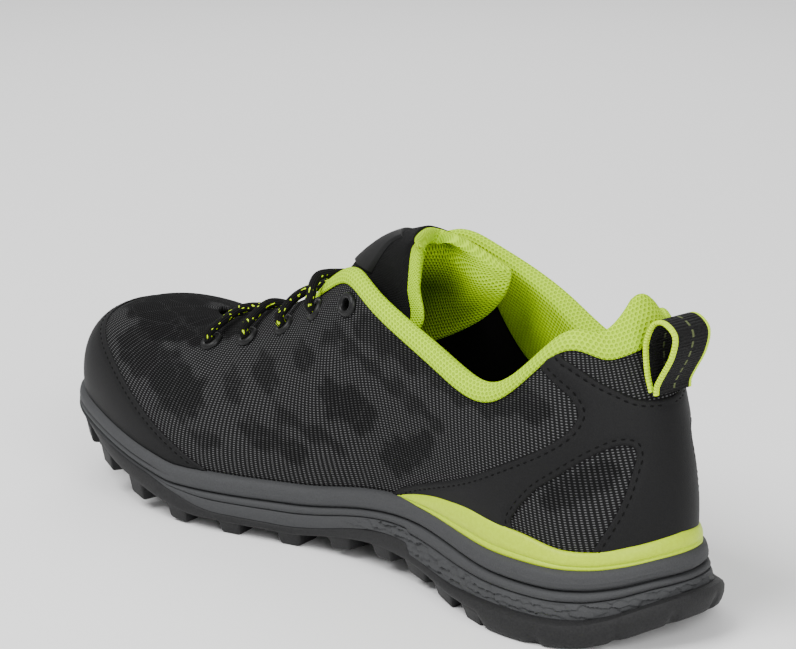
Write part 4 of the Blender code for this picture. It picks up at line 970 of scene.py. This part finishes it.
u = np.linspace(-COLLAR_END, COLLAR_END, COLLAR_COLUMNS)
section = closed_spline(COLLAR_SECTION, np.linspace(0, len(COLLAR_SECTION), COLLAR_POINTS, endpoint=False))
out, rise, pad, sink = (column[:, None] for column in section.T)
out = out - pad * COLLAR_PAD * ease(np.abs(u), PAD_FROM, PAD_TO)
rise = rise - sink * COLLAR_SINK * ease(np.abs(u), SINK_FROM, SINK_TO)
at_heel = np.exp(-((u / HEEL_TAB) ** 2))
rise = rise - HEEL_BINDING * at_heel * ease(out, -0.5, 0.3) * ease(rise, 0.0, -4.0)
taper = np.sqrt(np.clip((COLLAR_END - np.abs(u)) / COLLAR_POINT, 0, 1))
out, rise = -1.0 + (out + 1.0) * taper, -2.0 + (rise + 2.0) * taper
tab = HEEL_ROLL * at_heel * ease(rise, 0.0, 2.0)
point, normal, up = skin_frame(np.broadcast_to(u, rise.shape), 1 + np.minimum(rise, 0) / rib_length(u))
rings = point + normal * out[..., None] + up * (np.maximum(rise, 0) + tab)[..., None]
girth = run_along(rings)
uv = np.stack([np.broadcast_to(run_along(skin(u, np.ones(COLLAR_COLUMNS))), girth.shape), girth], -1)
uv = np.concatenate([uv, uv[:1] + (0, girth.max())])
rings = np.concatenate([rings, rings[:1]])
# The last colour, a dark green, is the painted shade laid into the hollow of the tongue's lining.
lime_knit = knit_material("lime_knit", (0.45, 0.73, 0.0), (0.31, 0.53, 0.0), (0.05, 0.10, 0.0), KNIT)
faces = grid_faces(len(rings), COLLAR_COLUMNS)
collar = new_piece("collar_pad", rings, faces, lime_knit, "knit_lime", "collar", uv=uv, crease=70.0)


# Tongue. Foam between a lime knit lining, which rolls over its edges, and a black knit face with a smooth black
# patch; it is sewn in at the toe end of the lacing and stands up round the ankle.
TONGUE = table(
    "along up half fall angle lean thick",
    (0.825, 64.5, 13.0, 3.0, 90.0, 0.0, 2.4),
    (0.715, 67.0, 16.5, 16.0, 45.0, 0.0, 3.0),
    (0.630, 77.0, 19.0, 50.0, 4.0, 0.0, 4.0),
    (0.570, 89.5, 20.0, 61.0, 0.0, 0.0, 5.0),
    (0.523, 104.0, 20.5, 47.0, 0.0, 0.20, 5.5),
    (0.462, 115.5, 20.5, 29.0, -4.0, 0.25, 5.5),
    (0.393, 122.0, 20.0, 9.5, 0.0, 0.30, 4.0),
)
TONGUE_SLANT, TONGUE_CORNER, TONGUE_FAR_CORNER, TONGUE_SLANT_FROM = 40.0, 8.0, 3.0, 0.45
TONGUE_LENGTH, TONGUE_HALF = 141.0, 20.0
FACE_HALF, FACE_TOP = 0.96, 0.98
PATCH_ROWS, PATCH_HALF = (0.66, 0.9), 0.65
RIB_KNIT, RIB_KNIT_HOLE, LINING_GAP = 1.35, 0.48, 0.15
# Height, distance in from the edge and half width of the lining's roll and of the trough beside it
EDGE_ROLL, EDGE_TROUGH = (1.8, 3.0, 2.4), (-2.2, 9.5, 3.6)


def tongue_row(s, name):
    """A column of the tongue's table at a share s of its length."""
    return smooth_through(s, np.linspace(0, 1, len(TONGUE)), TONGUE[name])


def tongue_point(s, w):
    """Outer face of the tongue: s runs up its length, w from -1 (inner edge) to 1 across."""
    reach = np.hypot(np.ptp(TONGUE["along"]) * LENGTH, np.ptp(TONGUE["up"]))
    corner = np.where(w < 0, TONGUE_CORNER * np.abs(w) ** 5, TONGUE_FAR_CORNER * w**6)
    s = s - (TONGUE_SLANT * ((w + 1) / 2) ** 3 + corner) / reach * ease(s, TONGUE_SLANT_FROM, 1.0)
    along, up, half, fall, angle, lean = (tongue_row(s, name) for name in TONGUE.dtype.names[:6])
    shift = MOUTH_SHIFT * ease(along, MOUTH_SHIFT_FROM, MOUTH_SHIFT_TO)
    fall = fall * w * w * (1 + lean * np.maximum(w, 0))
    angle = np.radians(angle)
    return np.stack([along * LENGTH - fall * np.cos(angle), shift + w * half, up - fall * np.sin(angle)], -1)


def tongue_inside(s, w, depth):
    """Points at a depth behind the tongue's outer face, in millimetres."""
    step = 1e-3
    s_in, w_in = np.clip(s, step, 1 - step), np.clip(w, step - 1, 1 - step)
    up = tongue_point(s_in + step, w_in) - tongue_point(s_in - step, w_in)
    across = tongue_point(s_in, w_in + step) - tongue_point(s_in, w_in - step)
    return tongue_point(s, w) + unit(np.cross(up, across)) * depth[..., None]


def tongue_edge(s, w):
    """Distance in from the tongue's side and top edges, in millimetres."""
    side, top = (1 - np.abs(w)) * TONGUE_HALF * 1.6 + 1e-3, (1 - s) * TONGUE_LENGTH + 1e-3
    return (side**-2 + top**-2) ** (-1 / 2)


def slab_faces(rows, count):
    """Faces of rings that run out on one side of a slab and back on the other, with both its ends closed."""
    strip = np.arange(count // 2 - 1)
    ends = np.stack([strip, strip + 1, count - 2 - strip, count - 1 - strip], -1)
    return grid_faces(rows, count, wrap=True).tolist() + ends.tolist() + (ends + (rows - 1) * count).tolist()


def tongue_slab(name, s, w, near, far, material, slot, node=None):
    """Closed slab over a grid of the tongue, between two depths given as arrays over the grid."""
    s, w = np.meshgrid(s, w, indexing="ij")
    rings = np.concatenate([tongue_inside(s, w, near(s, w)), tongue_inside(s, w, far(s, w))[:, ::-1]], 1)
    rows, count = rings.shape[:2]
    girth = run_along(rings, 1)
    uv = np.stack([girth - girth[:, [3 * count // 4]], run_along(rings)], -1)
    # Painted shade for the lining: its inner face goes dark over the tongue's hollow, fading out at the edges, at
    # the top and towards the far edge.
    painted_shade = np.zeros((rows, count))
    shade_in_hollow = ease(tongue_edge(s, w), 0.3, 2.5) * ease(s, 0.95, 0.6) * (0.45 + 0.55 * ease(w, 0.95, 0.7))
    painted_shade[:, count // 2 :] = shade_in_hollow[:, ::-1]
    faces = slab_faces(rows, count)
    return new_piece(name, rings, faces, material, slot, node, uv=uv, crease=60.0, values={"painted_shade": painted_shade})


def lining_near(s, w):
    """Depth of the lining's outer face: a half round at the tongue's edges."""
    half = tongue_row(s, "thick") / 2
    t = 1 - np.clip(tongue_edge(s, w) / half, 0, 1)
    return half * (1 - np.sqrt(1 - t * t)) + LINING_GAP


def lining_far(s, w):
    """Depth of the lining's inner face: a roll along the edges and a trough beside it."""
    edge = tongue_edge(s, w)
    roll = sum(rise * np.exp(-(((edge - at) / half) ** 2)) for rise, at, half in (EDGE_ROLL, EDGE_TROUGH))
    roll = roll * ease(s, 0.4, 0.6) * ease(edge, 0.0, 2.0)
    return tongue_row(s, "thick") - lining_near(s, w) + LINING_GAP + roll


def face_near(s, w):
    """Outer face of the black knit: a little over the lining, down to it at the sides."""
    return -0.7 * ease((1 - np.abs(w) / FACE_HALF) * TONGUE_HALF, 0.0, 0.8) + lining_near(s, w) - LINING_GAP


def face_far(s, w):
    """Inner face of the black knit, just under the lining's outer one."""
    return lining_near(s, w) + 0.5


def patch_near(s, w):
    """Outer face of the patch: flat with a quarter round at its rim."""
    ends = np.minimum(s - PATCH_ROWS[0], PATCH_ROWS[1] - s) * TONGUE_LENGTH
    rim = np.minimum((PATCH_HALF - np.abs(w)) * TONGUE_HALF, ends)
    return -0.9 - 0.7 * np.sqrt(1 - (1 - np.clip(rim / 0.8, 0, 1)) ** 2)


fine = np.sin(np.linspace(-math.pi / 2, math.pi / 2, 90))
rows = np.concatenate([np.linspace(0, 0.93, 90), 0.93 + 0.07 * np.sin(np.linspace(0, math.pi / 2, 16))[1:]])
tongue = tongue_slab("tongue_lining", rows, fine, lining_near, lining_far, lime_knit, "knit_lime", "tongue")
rib_knit = new_material("black_rib_knit", (0.006, 0.006, 0.006), 0.85, 0.1)
loops = dimples(rib_knit, RIB_KNIT, RIB_KNIT_HOLE)
drive(rib_knit, "Base Color", shade(rib_knit, loops, (0.012, 0.012, 0.0125), (0.002, 0.002, 0.002), 0.1, 1.0))
relief(rib_knit, 0.9, 0.0007, calc(rib_knit, "SUBTRACT", 1.0, loops))
rows, across = np.linspace(0, FACE_TOP, 120), np.linspace(-FACE_HALF, FACE_HALF, 60)
tongue_slab("tongue_face", rows, across, face_near, face_far, rib_knit, "mesh_black")
rows, across = np.linspace(*PATCH_ROWS, 60), np.linspace(-PATCH_HALF, PATCH_HALF, 40)
tongue_slab(
    "tongue_patch_skin", rows, across, patch_near, lambda s, w: np.full(s.shape, -0.4),
    black_skin, "synthetic_black", "tongue_patch",
)


# Eyelets. Ten rings of dark coated metal, each a flange on the mesh and a barrel pressed through its hole.
EYELET_PROFILE = np.array(
    [
        (2.0, -2.3), (2.0, -0.6), (2.05, 0.5), (2.3, 1.1), (2.8, 1.5), (3.4, 1.55), (4.0, 1.25), (4.4, 0.7),
        (4.5, 0.1), (3.4, -0.1), (2.5, -0.3), (2.45, -2.3), (2.0, -2.3),
    ]
)
ring_metal = new_material("dark_eyelet", (0.006, 0.006, 0.0062), 0.45, 0.22)
worn = grain(ring_metal, 1200.0, 3.0, 0.15, 0.0002)
drive(ring_metal, "Roughness", calc(ring_metal, "MULTIPLY_ADD", worn, 0.25, 0.28))
turn = (np.arange(32) * math.tau / 32)[:, None]
for (side, row), found in eyelet_places.items():
    point, normal, up = skin_frame(*found)
    spoke = np.cross(normal, up) * np.cos(turn) + up * np.sin(turn)
    rings = point + spoke * EYELET_PROFILE[:, :1, None] + normal * EYELET_PROFILE[:, 1:, None]
    word = f"{'inner' if side < 0 else 'outer'}_{row + 1}"
    faces = grid_faces(len(rings), 32, wrap=True)
    new_piece(f"eyelet_ring_{word}", rings, faces, ring_metal, "synthetic_black", f"eyelet_{word}")


# Lace. One round braided cord, black with lime flecks: a bar under the lowest pair of eyelets, then out of each
# eyelet, over the lacing edge and across to the next row, where it goes in under the edge.
LACE, LACED_ROWS, LACE_END, LACE_INSIDE = 3.6, 4, 9.0, 5.4
LACE_CROSS, LACE_RISE = 0.62, 0.9  # at a crossing: share of its thickness up or down, and rise in all
OVER_EDGE, OVER_BINDING, UNDER_EDGE, OVER_TONGUE = 2.6, 2.4, 4.4, 3.2
# The turn through an eyelet: name, height over the mesh and distance in from the hole
LACE_TURN = (
    ("turn", -5.4, 3.2), ("below", -4.5, 0.9), ("in", -2.2, 0.0),
    ("out", 1.2, 0.0), ("bent", 3.2, 0.9), ("laid", 4.0, 3.2),
)


def lace_points(side, row, ends=False):
    """Points where the lace passes an eyelet: the turn through it, over the lacing edge, and in under the edge.

    Where the lace ends, it goes in under the edge a little above the eyelet.
    """
    hole, normal, _ = skin_frame(*eyelet_places[side, row])
    edge, edge_normal, _ = skin_frame(*beside_lacing(EYELETS["along"][row] * LENGTH - LACE_END * ends, side, 0.5))
    inward = unit(edge - hole)
    bound = OVER_BINDING if row == LACED_ROWS - 1 else 0.0
    return {name: hole + normal * up + inward * off for name, up, off in LACE_TURN} | {
        "over": edge + edge_normal * (OVER_EDGE + bound) + inward * 0.5,
        "under": edge - edge_normal * UNDER_EDGE + inward * 0.5,
        "inside": (hole + edge) / 2 - normal * LACE_INSIDE,
    }


route = []
for side in (-1, 1):
    half_route = []
    for row in range(LACED_ROWS):
        here, there = lace_points(side, row), lace_points(-side, min(row + 1, LACED_ROWS - 1), row == LACED_ROWS - 1)
        hump = np.array([0, 0, LACE * LACE_CROSS * (1 if (row % 2 == 0) == (side < 0) else -1) + LACE_RISE])
        half_route += [here[name] for name, *_ in LACE_TURN] + [here["over"]]
        for t in (0.3, 0.5, 0.7):
            half_route.append(here["over"] * (1 - t) + there["under"] * t + hump * bump(t, 1, 0.5, 0.5))
        half_route += [there["under"], there["inside"]]
        side = -side
    route.append(half_route)
near, far = lace_points(-1, 0), lace_points(1, 0)
over_tongue = (near["under"] + far["under"]) / 2 + (0, 0, OVER_TONGUE)
bar = [near["inside"], near["under"], over_tongue, far["under"], far["inside"]]
path = fair_line(route[0][::-1] + bar + route[1], each=14)
way = unit(np.gradient(path, axis=0))
side = np.cross(way, (1.0, 0, 0))
side /= np.maximum(np.linalg.norm(side, axis=-1, keepdims=True), 1e-6)
turn = np.arange(13) * math.tau / 12
rings = side[:, None] * np.cos(turn)[:, None] + np.cross(side, way)[:, None] * np.sin(turn)[:, None]
rings = path[:, None] + LACE / 2 * rings
run = run_along(path)
uv = np.stack(np.broadcast_arrays(run[:, None], turn * LACE / 2), -1)
braid = new_material("lace_braid", (0.007, 0.007, 0.007), 0.85, 0.12)
cloth = wire(braid, "UVMap", uv_map="cloth").outputs[0]
values = {"Vector": cloth, "Scale": 0.42, "Distortion": 1.5, "Detail": 1.0}
relief(braid, 0.8, 0.0005, wire(braid, "TexWave", values, bands_direction="Y").outputs["Fac"])
fleck_place = wire(braid, "Mapping", {"Vector": cloth, "Scale": (0.55, 0.9, 1.0)}).outputs[0]
flecks = wire(braid, "TexNoise", {"Vector": fleck_place, "Scale": 1.0, "Detail": 0.0}).outputs[0]
fleck = ranged(braid, flecks, 0.69, 0.71)
drive(braid, "Base Color", shade(braid, fleck, (0.006, 0.006, 0.006), (0.60, 0.88, 0.0)))
faces = grid_faces(len(rings), 13).tolist()
faces += [list(range(start, start + 12)) for start in (0, 13 * (len(rings) - 1))]
lace = new_piece("lace_cord", rings, faces, braid, "webbing_black", "lace", uv=uv)


# Pull loop. Black ribbed webbing with lime edges and a stitched line down its middle, folded to a loop behind
# the heel; both its ends are sewn down under the counter's upper edge.
LOOP_WIDTH, LOOP_THICK, LOOP_EDGE, LOOP_RIB = 18.0, 1.5, 1.7, 1.1
LOOP_STITCH, LOOP_STITCH_SHARE, LOOP_STITCH_HALF = 3.4, 0.62, 0.45
# Path as distance out from the heel and height
LOOP_PATH = (
    (1.1, 84.5), (1.1, 91.0), (3.6, 100.0), (9.5, 107.0), (15.0, 108.5),
    (18.0, 105.0), (14.0, 98.0), (7.6, 91.0), (4.2, 87.0), (3.0, 84.0),
)
spine = fair_line(LOOP_PATH, each=14)
wall = skin(np.zeros(200), np.linspace(0, 1, 200))
line = np.stack([np.interp(spine[:, 1], wall[:, 2], wall[:, 0]) - spine[:, 0], spine[:, 1]], -1)
way = unit(np.gradient(line, axis=0))
side = np.stack([way[:, 1], -way[:, 0]], -1)
across = np.concatenate([np.linspace(-1, 1, 40), np.linspace(1, -1, 40)]) * LOOP_WIDTH / 2
rim = np.clip((LOOP_WIDTH / 2 - np.abs(across)) / 0.7, 0, 1)
thick = LOOP_THICK / 2 * (0.35 + 0.65 * np.sqrt(1 - (1 - rim) ** 2)) * np.where(np.arange(80) < 40, 1, -1)
plan = line[:, None] + side[:, None] * thick[:, None]
rings = np.stack([plan[..., 0], np.broadcast_to(across, plan.shape[:2]), plan[..., 1]], -1)
uv = np.stack(np.broadcast_arrays(run_along(line)[:, None], across), -1)
webbing = new_material("loop_webbing", (0.008, 0.008, 0.008), 0.8, 0.12)
maths, (along, off) = partial(calc, webbing), cloth_axes(webbing)
off = maths("ABSOLUTE", off)
hem = maths("GREATER_THAN", off, LOOP_WIDTH / 2 - LOOP_EDGE)
stitch = maths("LESS_THAN", maths("FRACT", maths("DIVIDE", along, LOOP_STITCH)), LOOP_STITCH_SHARE)
stitch = maths("MULTIPLY", maths("LESS_THAN", off, LOOP_STITCH_HALF), stitch)
values = {"Vector": wire(webbing, "TexCoord").outputs["Object"], "Scale": 1600.0, "Detail": 2.0}
yarn = wire(webbing, "TexNoise", values).outputs[0]
colour = shade(webbing, yarn, (0.006, 0.006, 0.006), (0.014, 0.014, 0.014), 0.35, 0.65)
for mask, paint in ((hem, (0.60, 0.88, 0.0, 1.0)), (stitch, (0.10, 0.12, 0.05, 1.0))):
    colour = wire(webbing, "MixRGB", {"Fac": mask, 1: colour, 2: paint}).outputs[0]
drive(webbing, "Base Color", colour)
relief(webbing, 0.7, 0.0004, maths("SINE", maths("MULTIPLY", along, math.tau / LOOP_RIB)))
faces = slab_faces(len(rings), 80)
new_piece("pull_loop_webbing", rings, faces, webbing, "webbing_black", "pull_loop", uv=uv, crease=50.0)


# Floor, light and camera
floor_cloth = new_material("pale_floor", (0.9, 0.9, 0.9), 0.95, 0.1)
corners = [(-3000, -3000, -0.02), (3000, -3000, -0.02), (3000, 3000, -0.02), (-3000, 3000, -0.02)]
new_piece("floor", corners, [(0, 1, 2, 3)], floor_cloth, None, closed=False)
world = bpy.data.worlds.new("studio")
world.use_nodes = True
world.node_tree.nodes["Background"].inputs["Color"].default_value = (1, 1, 1, 1)
world.node_tree.nodes["Background"].inputs["Strength"].default_value = 0.65
bpy.context.scene.world = world


def put(name, data, position, aim):
    """Light or camera at a position, turned to a point."""
    made = bpy.data.objects.new(name, data)
    bpy.context.scene.collection.objects.link(made)
    made.location = position
    made.rotation_euler = (Vector(aim) - Vector(position)).to_track_quat("-Z", "Y").to_euler()
    return made


for name, position, size, watts in (
    ("key", (-0.2, -1.1, 1.5), 1.0, 40), ("fill", (1.4, -0.5, 0.8), 1.0, 20), ("back", (-0.9, 0.9, 1.1), 0.9, 8)
):
    lamp = bpy.data.lights.new(name, "AREA")
    lamp.size, lamp.energy = size, watts
    put(name, lamp, position, (0, 0, 0.05))
camera = bpy.data.cameras.new("camera")
camera.sensor_width, camera.lens, camera.clip_start = 36.0, 117.34, 0.01
bpy.context.scene.camera = put("camera", camera, (0.6744, -0.6175, 0.322), (-0.0046, 0.0085, 0.077))
